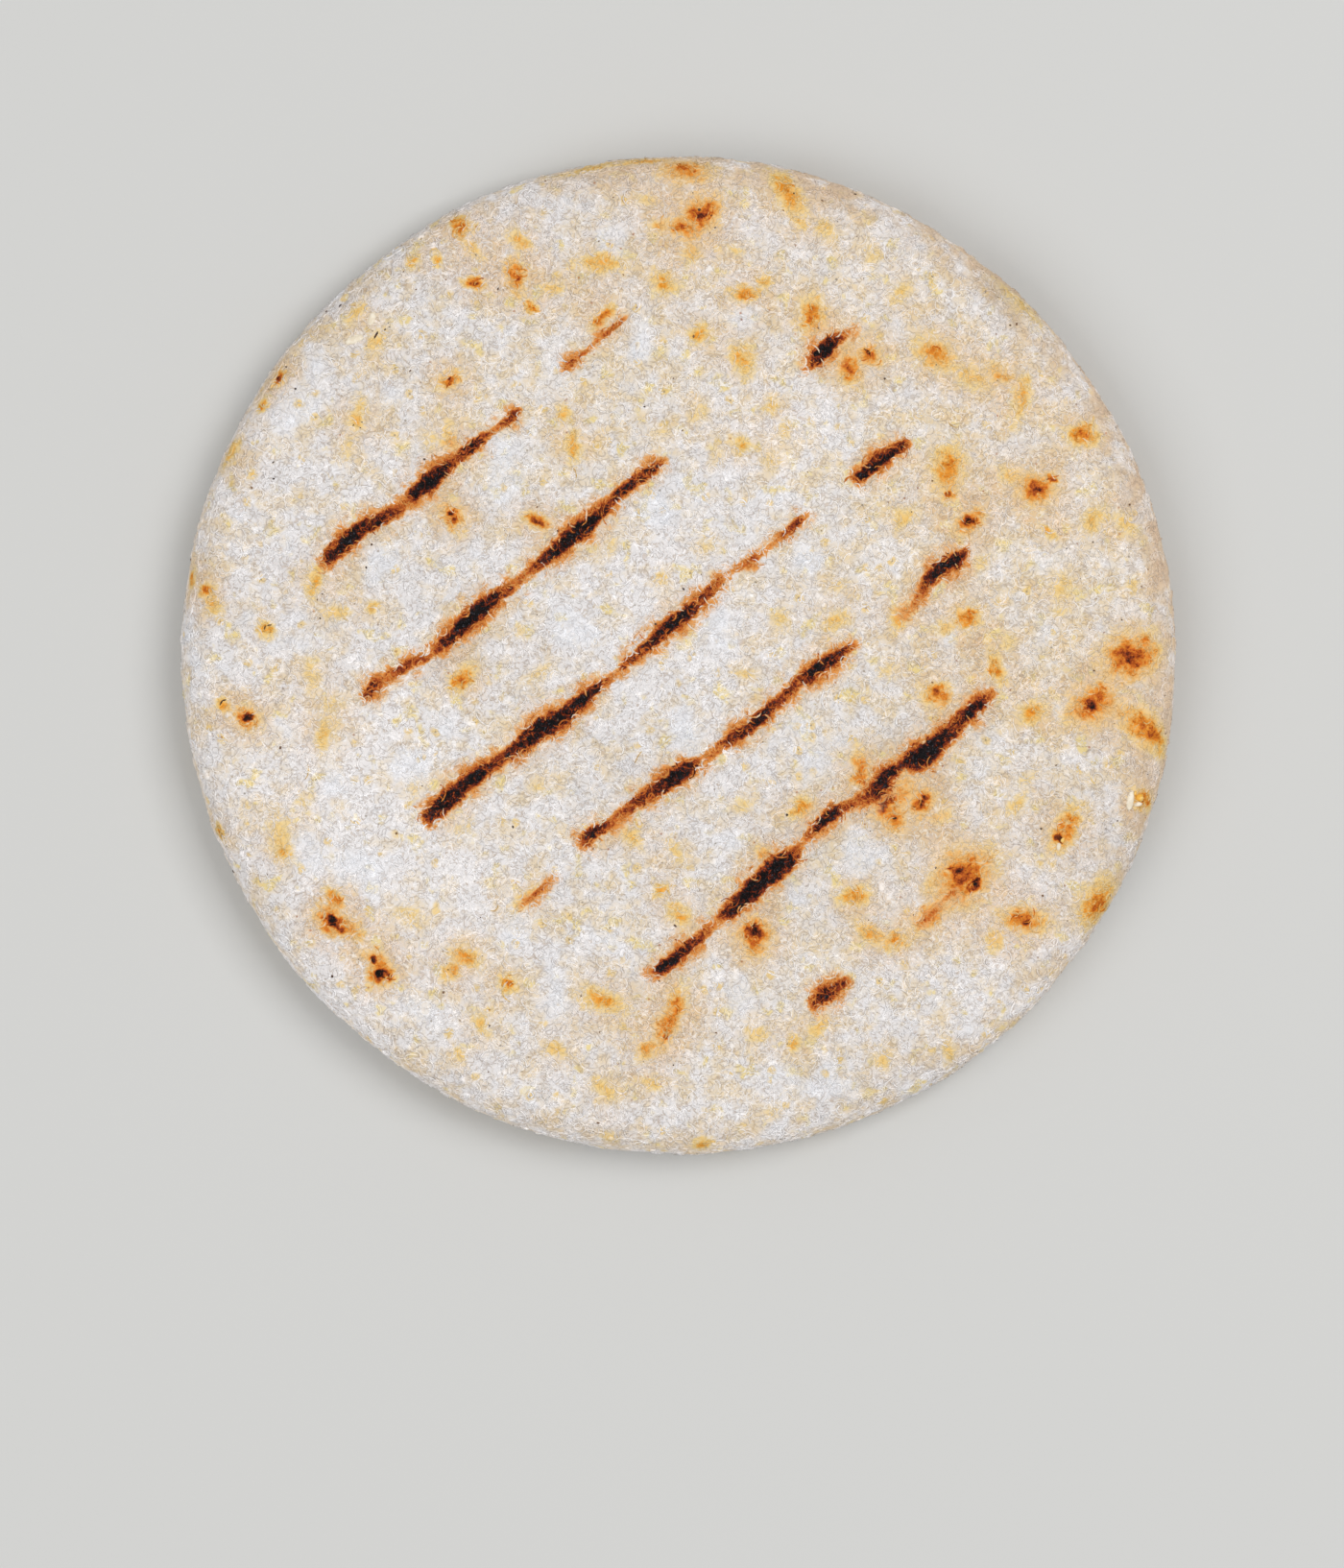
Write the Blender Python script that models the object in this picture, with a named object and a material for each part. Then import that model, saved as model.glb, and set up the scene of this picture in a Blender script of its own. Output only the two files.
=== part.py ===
"""Hominy arepa: a round, flat griddle cake of ground white corn, lying on its underside.

The cake is one solid. Its top and its underside are triangulated sheets, finer along the
grooves that the grill bars pressed into them, and rings round a rounded edge join the two.
Metres, +Z up. The origin is the middle of the cake, on the surface that it lies on.
"""

import math
import random

import bmesh
import bpy
from mathutils import Vector, noise
from mathutils.geometry import delaunay_2d_cdt
from mathutils.kdtree import KDTree

# The cake
DIAMETER = 0.1200
THICKNESS = 0.0105
DOME = 0.0003
WIDEST_AT = 0.0048
TOP_ROUNDING = 0.0048
BASE_ROUNDING = 0.0032
EDGE_SQUARENESS = 2.3

# The outline, which is not quite a circle: waves round it, their depth, and their turn in radians
OUTLINE_WAVES = (
    (2, 0.00014, -2.14),
    (3, 0.00007, -1.74),
    (4, 0.00009, -0.31),
    (5, 0.00004, 2.30),
)

# Unevenness: the length of the lumps, and how far they stand out
TOP_SWELLS = ((0.0240, 0.00042), (0.0085, 0.00024), (0.0042, 0.00012))
EDGE_LUMPS = ((0.0130, 0.00020), (0.0050, 0.00016))
LUMP_LAYER_GAP = 9.7

# The grooves under the grill bars
BAR_PITCH = 0.01554
GROOVE_HALF_WIDTH = 0.0012
GROOVE_DEPTH = 0.00045
GROOVE_FADE = 0.0028
GROOVE_TIP_SHARE = 0.35
GROOVE_WALL_STEEPNESS = 1.5
GROOVE_WANDER = 0.00035
GROOVE_WANDER_LENGTH = 0.0110
WANDER_BAR_GAP = 3.3

# Where each bar touched, in millimetres along it from the point nearest the middle
TOP_BAR_ANGLE = math.radians(38.5)
TOP_FIRST_BAR = 0.0352
TOP_TOUCHES = (
    ((-26.8, -15.1), (-13.4, 4.0), (8.9, 21.1)),
    ((-32.8, -25.6), (-21.3, -13.5), (-6.9, 14.0), (33.2, 39.5)),
    ((-36.6, -9.8), (-1.8, 9.8), (17.9, 21.8), (28.2, 38.2)),
    ((-33.5, -29.9), (-23.5, -2.5), (1.6, 16.9), (22.3, 35.1)),
    ((-25.9, -4.2), (-0.6, 27.1)),
    ((-14.2, -7.1), (4.2, 10.4)),
)
BASE_BAR_ANGLE = math.radians(-27.0)
BASE_FIRST_BAR = 2.5 * BAR_PITCH
BASE_TOUCHES = (
    ((-24.0, -9.5), (-6.0, 12.5)),
    ((-38.0, -21.0), (-17.5, 6.0), (11.0, 33.5)),
    ((-42.5, -29.0), (-24.0, -2.5), (1.5, 26.0), (31.0, 40.5)),
    ((-36.0, -12.0), (-8.0, 17.5), (23.0, 41.0)),
    ((-33.0, -19.5), (-15.0, 9.5), (14.0, 27.0)),
    ((-17.5, 3.0), (7.5, 20.0)),
)
MM = 0.001

# How finely the solid is divided
POINTS_ROUND = 132
EDGE_RINGS_ABOVE = 5
EDGE_RINGS_BELOW = 4
TOP_SPACING = 0.0025
BASE_SPACING = 0.0060
GROOVE_STEP = 0.0019
ACROSS_GROOVE = (-1.0, -0.42, 0.42, 1.0)
CLEAR_OF_GROOVE = 0.6
CLEAR_OF_EDGE = 0.6
SCATTER = 0.16
SEED = 7

CRUST_COLOUR = (0.745, 0.638, 0.522, 1.0)
CRUST_ROUGHNESS = 0.72


def clear_scene():
    for obj in list(bpy.data.objects):
        bpy.data.objects.remove(obj, do_unlink=True)


def lumps(point, octaves):
    """The unevenness at a point: one smooth noise for each (length, height)."""
    total = 0.0
    for number, (length, height) in enumerate(octaves):
        layer = Vector((0.0, 0.0, LUMP_LAYER_GAP * number))
        total += height * noise.noise(point / length + layer)
    return total


def outline_radius(turn):
    """The cake's radius at its widest, in the direction of this angle."""
    waves = sum(depth * math.cos(count * turn - phase) for count, depth, phase in OUTLINE_WAVES)
    return DIAMETER / 2 + waves


def smooth_step(value):
    value = min(max(value, 0.0), 1.0)
    return value * value * (3.0 - 2.0 * value)


class Bars:
    """The parallel grill bars on one face, and the grooves where they touched it."""

    def __init__(self, angle, first, touches):
        self.along = Vector((math.cos(angle), math.sin(angle)))
        self.across = Vector((-math.sin(angle), math.cos(angle)))
        self.grooves = [
            (first - number * BAR_PITCH, start * MM, end * MM)
            for number, spans in enumerate(touches)
            for start, end in spans
        ]

    def wander(self, offset, run):
        """How far a groove strays sideways at this run along its bar."""
        place = Vector((run / GROOVE_WANDER_LENGTH, WANDER_BAR_GAP * offset / BAR_PITCH, 0.0))
        return GROOVE_WANDER * noise.noise(place)

    def half_width(self, run, start, end):
        """The groove narrows towards both ends."""
        opened = smooth_step(min(run - start, end - run) / GROOVE_FADE)
        return GROOVE_HALF_WIDTH * (GROOVE_TIP_SHARE + (1.0 - GROOVE_TIP_SHARE) * opened)

    def depth(self, point):
        """How far the bars pressed the face in at this point."""
        run = point.dot(self.along)
        deepest = 0.0
        for offset, start, end in self.grooves:
            if not start - GROOVE_STEP < run < end + GROOVE_STEP:
                continue
            side = point.dot(self.across) - offset - self.wander(offset, run)
            ends = smooth_step(min(run - start, end - run) / GROOVE_FADE + GROOVE_TIP_SHARE)
            from_lip = 1.0 - abs(side) / self.half_width(run, start, end)
            walls = smooth_step(GROOVE_WALL_STEEPNESS * from_lip)
            deepest = max(deepest, GROOVE_DEPTH * ends * walls)
        return deepest

    def points(self):
        """Rows of points along each groove: its two lips and the two edges of its floor."""
        rows = []
        for offset, start, end in self.grooves:
            steps = max(2, round((end - start) / GROOVE_STEP))
            for step in range(steps + 1):
                run = start + (end - start) * step / steps
                middle = offset + self.wander(offset, run)
                width = self.half_width(run, start, end)
                for share in ACROSS_GROOVE:
                    rows.append(self.along * run + self.across * (middle + share * width))
        return rows


def lattice(spacing, inset, taken):
    """A scattered triangular lattice over the cake, clear of the points that are taken."""
    draw = random.Random(SEED)
    tree = KDTree(len(taken))
    for index, point in enumerate(taken):
        tree.insert(point.to_3d(), index)
    tree.balance()
    points = []
    row_height = spacing * math.sqrt(3.0) / 2.0
    rows = math.ceil(DIAMETER / 2 / row_height)
    columns = math.ceil(DIAMETER / 2 / spacing)
    for row in range(-rows, rows + 1):
        for column in range(-columns, columns + 1):
            x = (column + 0.5 * (row % 2)) * spacing + draw.uniform(-SCATTER, SCATTER) * spacing
            y = row * row_height + draw.uniform(-SCATTER, SCATTER) * spacing
            point = Vector((x, y))
            border = outline_radius(math.atan2(y, x)) - inset
            if point.length > border - CLEAR_OF_EDGE * spacing:
                continue
            if tree.find(point.to_3d())[2] > CLEAR_OF_GROOVE * spacing:
                points.append(point)
    return points


def ring_directions():
    return [2.0 * math.pi * number / POINTS_ROUND for number in range(POINTS_ROUND)]


def sheet_triangles(ring, inner):
    """Triangles over the ring: the points of the sheet, ring first, and the faces."""
    border = [(number, (number + 1) % len(ring)) for number in range(len(ring))]
    made = delaunay_2d_cdt(ring + inner, border, [], 1, 1e-6)
    points, faces, sources = made[0], made[2], made[3]
    ring_place = {}
    for index, origin in enumerate(sources):
        for source in origin:
            if source < len(ring):
                ring_place[source] = index
    return points, faces, [ring_place[number] for number in range(len(ring))]


def top_height(point, bars):
    """The height of the top face at a point of the plan."""
    reach = point.length / (DIAMETER / 2)
    swell = lumps(point.to_3d(), TOP_SWELLS)
    return THICKNESS - DOME * reach * reach + swell - bars.depth(point)


def edge_point(turn, share, above, top_edge):
    """A point of the rounded edge: share runs from 0 at the face to 1 at the widest place."""
    angle = share * math.pi / 2.0
    power = 2.0 / EDGE_SQUARENESS
    outward = math.sin(angle) ** power
    upward = math.cos(angle) ** power
    rounding = TOP_ROUNDING if above else BASE_ROUNDING
    face_height = top_edge if above else 0.0
    height = WIDEST_AT + (face_height - WIDEST_AT) * upward
    direction = Vector((math.cos(turn), math.sin(turn), 0.0))
    point = direction * (outline_radius(turn) - rounding * (1.0 - outward))
    point.z = height
    return point + direction * lumps(point, EDGE_LUMPS) * outward


def plan_ring(rounding):
    """The closed line where a face meets the rounded edge."""
    ring = []
    for turn in ring_directions():
        radius = outline_radius(turn) - rounding
        ring.append(Vector((radius * math.cos(turn), radius * math.sin(turn))))
    return ring


def add_sheet(mesh, ring, inner, height_at, facing_up):
    """Adds one face of the cake to the mesh and returns the vertices of its border."""
    points, faces, border = sheet_triangles(ring, inner)
    vertices = [mesh.verts.new((point.x, point.y, height_at(point))) for point in points]
    for face in faces:
        corners = [vertices[index] for index in face]
        mesh.faces.new(corners if facing_up else reversed(corners))
    return [vertices[index] for index in border]


def add_edge(mesh, top_border, base_border):
    """Joins the two borders by rings round the rounded edge."""
    directions = ring_directions()
    rings = [top_border]
    for number in range(1, EDGE_RINGS_ABOVE + 1):
        share = number / EDGE_RINGS_ABOVE
        row = [edge_point(t, share, True, v.co.z) for t, v in zip(directions, top_border)]
        rings.append([mesh.verts.new(point) for point in row])
    for number in range(EDGE_RINGS_BELOW - 1, 0, -1):
        share = number / EDGE_RINGS_BELOW
        rings.append([mesh.verts.new(edge_point(t, share, False, 0.0)) for t in directions])
    rings.append(base_border)
    for upper, lower in zip(rings, rings[1:]):
        for number in range(POINTS_ROUND):
            after = (number + 1) % POINTS_ROUND
            mesh.faces.new((upper[number], lower[number], lower[after], upper[after]))


def centre_on_origin(mesh):
    """Moves the mesh so that the middle of its box lies over the origin."""
    for axis in (0, 1):
        places = [vertex.co[axis] for vertex in mesh.verts]
        middle = (min(places) + max(places)) / 2.0
        for vertex in mesh.verts:
            vertex.co[axis] -= middle


def crust_material():
    material = bpy.data.materials.new("hominy_crust")
    material.use_nodes = True
    shader = material.node_tree.nodes["Principled BSDF"]
    shader.inputs["Base Color"].default_value = CRUST_COLOUR
    shader.inputs["Roughness"].default_value = CRUST_ROUGHNESS
    shader.inputs["Metallic"].default_value = 0.0
    material.diffuse_color = CRUST_COLOUR
    return material


def make_arepa():
    """The whole cake, as one closed body."""
    top_bars = Bars(TOP_BAR_ANGLE, TOP_FIRST_BAR, TOP_TOUCHES)
    base_bars = Bars(BASE_BAR_ANGLE, BASE_FIRST_BAR, BASE_TOUCHES)
    mesh = bmesh.new()

    ring = plan_ring(TOP_ROUNDING)
    inner = top_bars.points()
    inner += lattice(TOP_SPACING, TOP_ROUNDING, inner)
    top_border = add_sheet(mesh, ring, inner, lambda p: top_height(p, top_bars), True)

    ring = plan_ring(BASE_ROUNDING)
    inner = base_bars.points()
    inner += lattice(BASE_SPACING, BASE_ROUNDING, inner)
    base_border = add_sheet(mesh, ring, inner, base_bars.depth, False)

    add_edge(mesh, top_border, base_border)
    centre_on_origin(mesh)
    bmesh.ops.recalc_face_normals(mesh, faces=mesh.faces)
    bmesh.ops.triangulate(mesh, faces=mesh.faces)

    data = bpy.data.meshes.new("arepa")
    mesh.to_mesh(data)
    mesh.free()
    data.shade_smooth()
    data.materials.append(crust_material())
    arepa = bpy.data.objects.new("arepa", data)
    bpy.context.scene.collection.objects.link(arepa)
    return arepa


clear_scene()
make_arepa()
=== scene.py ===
"""Looks of the hominy arepa: a griddled cake of ground white corn, seen from straight above.

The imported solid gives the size. Here the cake gets its crumb, its husk threads and grits, the
scorch lines of a ribbed griddle and its toasted blotches. Lengths are in millimetres on the cake
until they are turned into metres for Blender.
"""

import math

import bmesh
import bpy
import numpy as np
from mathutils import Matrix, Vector, noise


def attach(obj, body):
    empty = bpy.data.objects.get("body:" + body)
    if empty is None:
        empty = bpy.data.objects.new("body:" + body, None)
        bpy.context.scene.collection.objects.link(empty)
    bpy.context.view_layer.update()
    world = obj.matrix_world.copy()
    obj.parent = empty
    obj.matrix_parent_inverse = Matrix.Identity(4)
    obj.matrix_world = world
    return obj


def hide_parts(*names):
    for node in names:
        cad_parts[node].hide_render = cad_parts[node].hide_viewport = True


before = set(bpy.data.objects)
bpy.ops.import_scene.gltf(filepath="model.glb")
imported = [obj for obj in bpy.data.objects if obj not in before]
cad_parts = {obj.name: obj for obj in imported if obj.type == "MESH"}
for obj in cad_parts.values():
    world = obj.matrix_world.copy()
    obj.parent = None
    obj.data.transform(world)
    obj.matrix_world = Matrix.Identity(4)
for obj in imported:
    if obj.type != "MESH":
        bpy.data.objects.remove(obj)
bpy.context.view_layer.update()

MM = 0.001

# The cake's form, as in the solid
DIAMETER = 120.0
THICKNESS = 10.5
DOME = 0.3
WIDEST_AT = 4.8
TOP_ROUNDING = 4.8
BASE_ROUNDING = 3.2
EDGE_SQUARENESS = 2.3
OUTLINE_WAVES = ((2, 0.14, -2.14), (3, 0.07, -1.74), (4, 0.09, -0.31), (5, 0.04, 2.30))

# Noises: (length of a lump, height, shift)
TOP_SWELLS = ((24.0, 0.42, 0.0), (8.5, 0.24, 9.7), (4.2, 0.12, 19.4))
EDGE_LUMPS = ((13.0, 0.20, 0.0), (5.0, 0.16, 9.7))
CRUMB = ((1.5, 0.085, 11.0), (0.85, 0.030, 21.0))
FROST_EDGES = ((5.5, 1.1, 31.0), (2.4, 0.8, 47.0))

# On the underside the crumb only cuts in, by this share
BASE_CRUMB = 0.5

# Grains of dough side by side: (size, height, mean of the grains' noise, shift)
DOUGH_GRAINS = ((1.4, 0.045, 0.55, 5.0), (2.6, 0.045, 0.6, 15.0))

# The bars of the griddle: their direction, their spacing, and the first one's place
BAR_PITCH = 15.54
TOP_BAR_ANGLE = math.radians(38.5)
TOP_FIRST_BAR = 35.2
BASE_BAR_ANGLE = math.radians(-27.0)
BASE_FIRST_BAR = 2.5 * BAR_PITCH
GROOVE_DEPTH = 0.42
GROOVE_REACH = 1.7
GROOVE_SLOPE = 1.55
GROOVE_HEAT_GAIN = 1.6

# The scorch along each bar on the top: (run along the bar, sideways, spread, heat)
TOP_SCORCH = (
    (
        (-28.2, -0.2, 0.35, 0), (-26, 0.1, 0.62, 0.58), (-22.6, 0.3, 0.8, 0.98),
        (-20.2, 0.4, 0.68, 0.74), (-18.4, 0, 0.62, 0.82), (-15.6, -0.5, 0.7, 0.36),
        (-14.1, -0.4, 0.54, 0.24), (-12.9, -0.3, 0.64, 0.76), (-10.6, -0.3, 0.8, 1),
        (-8.2, -0.2, 0.6, 0.84), (-6.5, -0.1, 0.48, 0.44), (-3.7, -0.2, 0.56, 0.74),
        (-1.9, -0.2, 0.44, 0.48), (-0.5, -0.3, 0.3, 0.16), (1.6, -0.3, 0.43, 0.54),
        (2.9, -0.2, 0.38, 0.46), (4.4, -0.2, 0.3, 0), (8.4, 0, 0.3, 0), (11.5, 0.3, 0.28, 0.44),
        (14.6, 0.3, 0.2, 0.24), (19.2, 0.5, 0.26, 0.32), (22.4, 0.5, 0.3, 0),
    ),
    (
        (-34, -0.2, 0.3, 0), (-32.2, 0, 0.46, 0.58), (-30.9, 0.3, 0.5, 0.6),
        (-29.5, 0.1, 0.42, 0.28), (-26.9, -0.2, 0.54, 0.48), (-23.3, -1.1, 0.44, 0.28),
        (-20.4, -1, 0.58, 0.82), (-17.6, -0.7, 0.76, 0.96), (-15.9, -0.5, 0.8, 1),
        (-14.4, -0.5, 0.74, 0.76), (-13.1, -0.5, 0.6, 0.76), (-11.4, -0.7, 0.52, 0.44),
        (-8.2, -0.7, 0.4, 0.23), (-5.4, -0.7, 0.52, 0.7), (-2.3, -0.5, 0.7, 0.95),
        (0.6, -0.6, 0.72, 1), (3.4, -0.5, 0.5, 0.8), (4.9, -0.2, 0.52, 0.45), (7.3, 0, 0.5, 0.76),
        (9.3, -0.1, 0.48, 0.55), (11, -0.3, 0.45, 0.78), (12.5, -0.2, 0.36, 0.4),
        (14.9, -0.3, 0.26, 0), (32.4, -2.4, 0.3, 0), (33.8, -2.3, 0.42, 0.3),
        (35.2, -2, 0.66, 0.85), (36.7, -1.9, 0.68, 1), (38.1, -1.7, 0.56, 0.7),
        (39.6, -2, 0.44, 0.24), (42.4, -2.2, 0.36, 0),
    ),
    (
        (-37.8, -1.1, 0.3, 0), (-35.7, -0.6, 0.76, 0.62), (-33.4, -0.4, 0.8, 0.88),
        (-30.2, -0.3, 0.74, 0.82), (-28, -0.4, 0.62, 0.97), (-26.4, -0.4, 0.55, 0.74),
        (-24.6, -0.6, 0.56, 0.44), (-21.8, -0.9, 0.64, 0.8), (-19.2, -0.7, 0.84, 0.92),
        (-17.4, -1, 0.95, 0.99), (-15.2, -1.2, 0.72, 0.82), (-12.4, -1.1, 0.58, 0.91),
        (-10.1, -1.1, 0.42, 0.72), (-8.5, -1.1, 0.36, 0.28), (-7.1, -1.1, 0.3, 0.18),
        (-5.4, -0.9, 0.4, 0.57), (-4, -1, 0.42, 0.4), (-1.6, -0.9, 0.54, 0.68),
        (2.2, -0.7, 0.66, 0.9), (4.2, -0.8, 0.6, 0.78), (6.4, -0.6, 0.5, 0.48),
        (8.1, -0.4, 0.5, 0.44), (9.6, -0.1, 0.42, 0.28), (11.4, -0.3, 0.34, 0.12),
        (13.9, -0.7, 0.36, 0.46), (15.2, -0.8, 0.3, 0.18), (17.2, -0.8, 0.28, 0.2),
        (19, -0.7, 0.3, 0.38), (21.2, -0.5, 0.36, 0.5), (22.5, -0.5, 0.32, 0.16),
        (23.8, -0.6, 0.28, 0), (28.2, -1, 0.3, 0), (30.4, -0.9, 0.52, 0.82),
        (33.4, -0.8, 0.58, 0.92), (35.4, -1, 0.5, 0.78), (36.8, -1.2, 0.46, 0.58),
        (38.8, -1.5, 0.3, 0),
    ),
    (
        (-34.6, -0.5, 0.3, 0), (-33, -0.4, 0.24, 0.22), (-30.8, -0.3, 0.28, 0.36),
        (-29.2, -0.2, 0.22, 0.2), (-27.4, -0.2, 0.3, 0), (-25.3, 0.8, 0.36, 0),
        (-22.7, 1.1, 0.58, 0.62), (-21, 1.1, 0.56, 0.73), (-18.6, 0.7, 0.46, 0.28),
        (-15.2, 0.8, 0.56, 0.48), (-12.6, 0.5, 0.72, 0.64), (-9.6, 0.1, 0.8, 0.98),
        (-7.5, 0.1, 0.66, 0.82), (-5.9, -0.2, 0.5, 0.24), (-4, -0.3, 0.48, 0.26),
        (-1, -0.4, 0.6, 0.64), (1.3, -0.7, 0.5, 0.74), (3.1, -0.6, 0.56, 0.9),
        (4.8, -0.4, 0.52, 0.62), (6.1, -0.5, 0.5, 0.46), (7.6, -0.2, 0.55, 0.57),
        (8.9, -0.1, 0.55, 0.42), (10.8, -0.2, 0.7, 0.78), (12.4, -0.3, 0.72, 0.9),
        (15, -0.5, 0.55, 0.64), (16.6, -0.6, 0.36, 0.42), (19, -0.8, 0.3, 0), (22.8, -1.3, 0.3, 0),
        (25.4, -1.6, 0.38, 0.24), (27.2, -0.9, 0.42, 0.3), (28.8, -0.2, 0.6, 0.6),
        (31.4, -0.1, 0.7, 0.9), (33, -0.4, 0.6, 0.93), (34.6, -0.4, 0.46, 0.44), (36.4, 0, 0.3, 0),
    ),
    (
        (-27.8, -1, 0.34, 0), (-26.3, -1.2, 0.46, 0.3), (-25, -1.3, 0.55, 0.93),
        (-22.3, -1.2, 0.52, 0.77), (-19.2, -1.1, 0.5, 0.48), (-16.3, -0.9, 0.45, 0.18),
        (-14.6, -0.9, 0.64, 0.7), (-11.4, -0.7, 0.85, 0.93), (-8.9, -0.5, 0.84, 1),
        (-6.8, -0.4, 1, 1), (-5.3, -0.4, 0.88, 0.94), (-3.9, -0.4, 0.6, 0.54),
        (-2.5, 0, 0.36, 0.18), (-0.9, 0.4, 0.42, 0.42), (0.6, 0.5, 0.5, 0.82), (2, 0.6, 0.6, 1),
        (3.5, 0.4, 0.48, 0.55), (5.8, -0.2, 0.5, 0.34), (7.6, -0.6, 0.84, 0.5),
        (9.4, -0.4, 0.84, 0.86), (11, 0.1, 0.66, 0.84), (12.5, 0, 0.5, 0.44),
        (13.9, -0.6, 0.92, 0.92), (15.8, -0.7, 1.08, 1), (17.9, -0.7, 0.84, 0.9),
        (20, -0.5, 0.75, 0.6), (22.2, -0.2, 0.7, 0.7), (24.4, -0.1, 0.58, 0.86),
        (26, -0.1, 0.5, 0.38), (28.6, 0, 0.3, 0),
    ),
    (
        (-15.4, -0.5, 0.34, 0), (-13.1, -0.4, 0.62, 0.56), (-11.6, -0.4, 0.76, 0.74),
        (-10.1, -0.6, 0.62, 0.42), (-8.7, -0.7, 0.42, 0.52), (-7.3, -0.7, 0.3, 0),
        (0.4, -0.4, 0.3, 0), (3.6, -0.9, 0.34, 0.32), (6.6, -0.4, 0.26, 0.1),
        (8, -0.4, 0.34, 0.32), (9.6, -0.4, 0.3, 0),
    ),
)

# Where each bar touched the underside, as (start, end) along the bar
BASE_TOUCHES = (
    ((-24.0, -9.5), (-6.0, 12.5)),
    ((-38.0, -21.0), (-17.5, 6.0), (11.0, 33.5)),
    ((-42.5, -29.0), (-24.0, -2.5), (1.5, 26.0), (31.0, 40.5)),
    ((-36.0, -12.0), (-8.0, 17.5), (23.0, 41.0)),
    ((-33.0, -19.5), (-15.0, 9.5), (14.0, 27.0)),
    ((-17.5, 3.0), (7.5, 20.0)),
)

# Toasted blotches on the top: (x, y, half length, half width, turn in degrees, heat)
UPPER_LEFT_BLOTCHES = (
    (0.9, 58.4, 2.5, 1.5, 0, 0.46), (0.5, 58.6, 1.3, 0.8, 0, 0.58), (1.9, 58.2, 0.4, 0.4, 0, 0.54),
    (-10.6, 58.7, 3.6, 0.7, 10, 0.34), (-4.4, 59.4, 3, 0.6, 4, 0.36),
    (-26.3, 51.5, 1.1, 0.7, 120, 0.62), (-24.6, 48.7, 1.5, 0.6, 130, 0.27),
    (-19.6, 45.6, 1.7, 0.8, 100, 0.57), (-19.5, 45.2, 0.4, 0.3, 0, 0.72),
    (-24.4, 44.7, 0.9, 0.5, 165, 0.78), (-27.3, 25.7, 1.5, 0.9, 110, 0.34),
    (-29.5, 25.9, 1.6, 1.1, 80, 0.17), (-32.1, 47.2, 0.8, 0.5, 60, 0.42),
    (-29, 47.5, 0.7, 0.5, 130, 0.42), (-19, 49.8, 1.4, 0.7, 140, 0.4),
    (-9.4, 47.1, 2.1, 0.9, 172, 0.44), (-1.7, 44.6, 1.3, 1, 145, 0.42),
    (-3.4, 54.5, 1.5, 0.7, 165, 0.2), (-2.4, 51.4, 1, 0.6, 0, 0.38),
    (0.6, 51.2, 1.5, 0.9, 165, 0.58), (2.7, 52.9, 1.7, 1.5, 60, 0.64),
    (2.8, 53, 1.1, 0.9, 0, 0.73), (1.6, 48.4, 1.1, 0.8, 120, 0.3),
    (-27.4, 33.1, 1.1, 0.7, 28, 0.6), (-27.3, 33.4, 0.4, 0.3, 0, 0.84),
    (-48.1, 33.4, 0.9, 0.7, 96, 0.66), (-48.1, 33.5, 0.4, 0.3, 0, 0.92),
    (-50.1, 30.1, 0.6, 0.5, 62, 0.54), (-9.3, 40.4, 1.2, 0.6, 43, 0.62),
    (-15.2, 44, 1.1, 0.7, 5, 0.3), (-17.8, 41.8, 0.6, 0.5, 137, 0.6),
    (-27, 16.6, 1.4, 0.8, 124, 0.65), (-27.1, 17.1, 0.5, 0.4, 0, 0.86),
    (-17, 16.1, 1.1, 0.6, 157, 0.72), (-12.6, 25, 1.4, 0.8, 96, 0.42),
    (-13.7, 28.9, 0.9, 0.6, 110, 0.36), (-56.9, 7.8, 0.8, 0.6, 20, 0.62),
    (-56, 6, 1, 0.8, 120, 0.36), (-58.7, 9.2, 1, 0.6, 89, 0.5), (-49.4, 3.1, 0.8, 0.8, 40, 0.46),
    (-36.8, 5.9, 0.8, 0.6, 155, 0.36), (-41, 5.1, 1.5, 0.8, 6, 0.25),
    (-43.6, 9.2, 1.9, 0.7, 70, 0.36), (-53.8, 24.4, 1.7, 0.8, 57, 0.38),
    (-51.2, 21.8, 0.7, 0.5, 74, 0.25), (-38.3, 29.3, 2.2, 0.9, 80, 0.24),
    (-38.7, 28.3, 0.9, 0.7, 75, 0.34), (-39.6, 24.9, 1.8, 0.9, 66, 0.16),
    (-36.1, 37.6, 1.5, 0.9, 53, 0.27), (-38.9, 41, 1.4, 0.6, 59, 0.3),
    (-8.1, 13.1, 0.9, 0.7, 74, 0.18), (-1.9, 9.3, 0.8, 0.6, 75, 0.25),
    (-45.6, 30.3, 0.5, 0.4, 0, 0.22),
)
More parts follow.
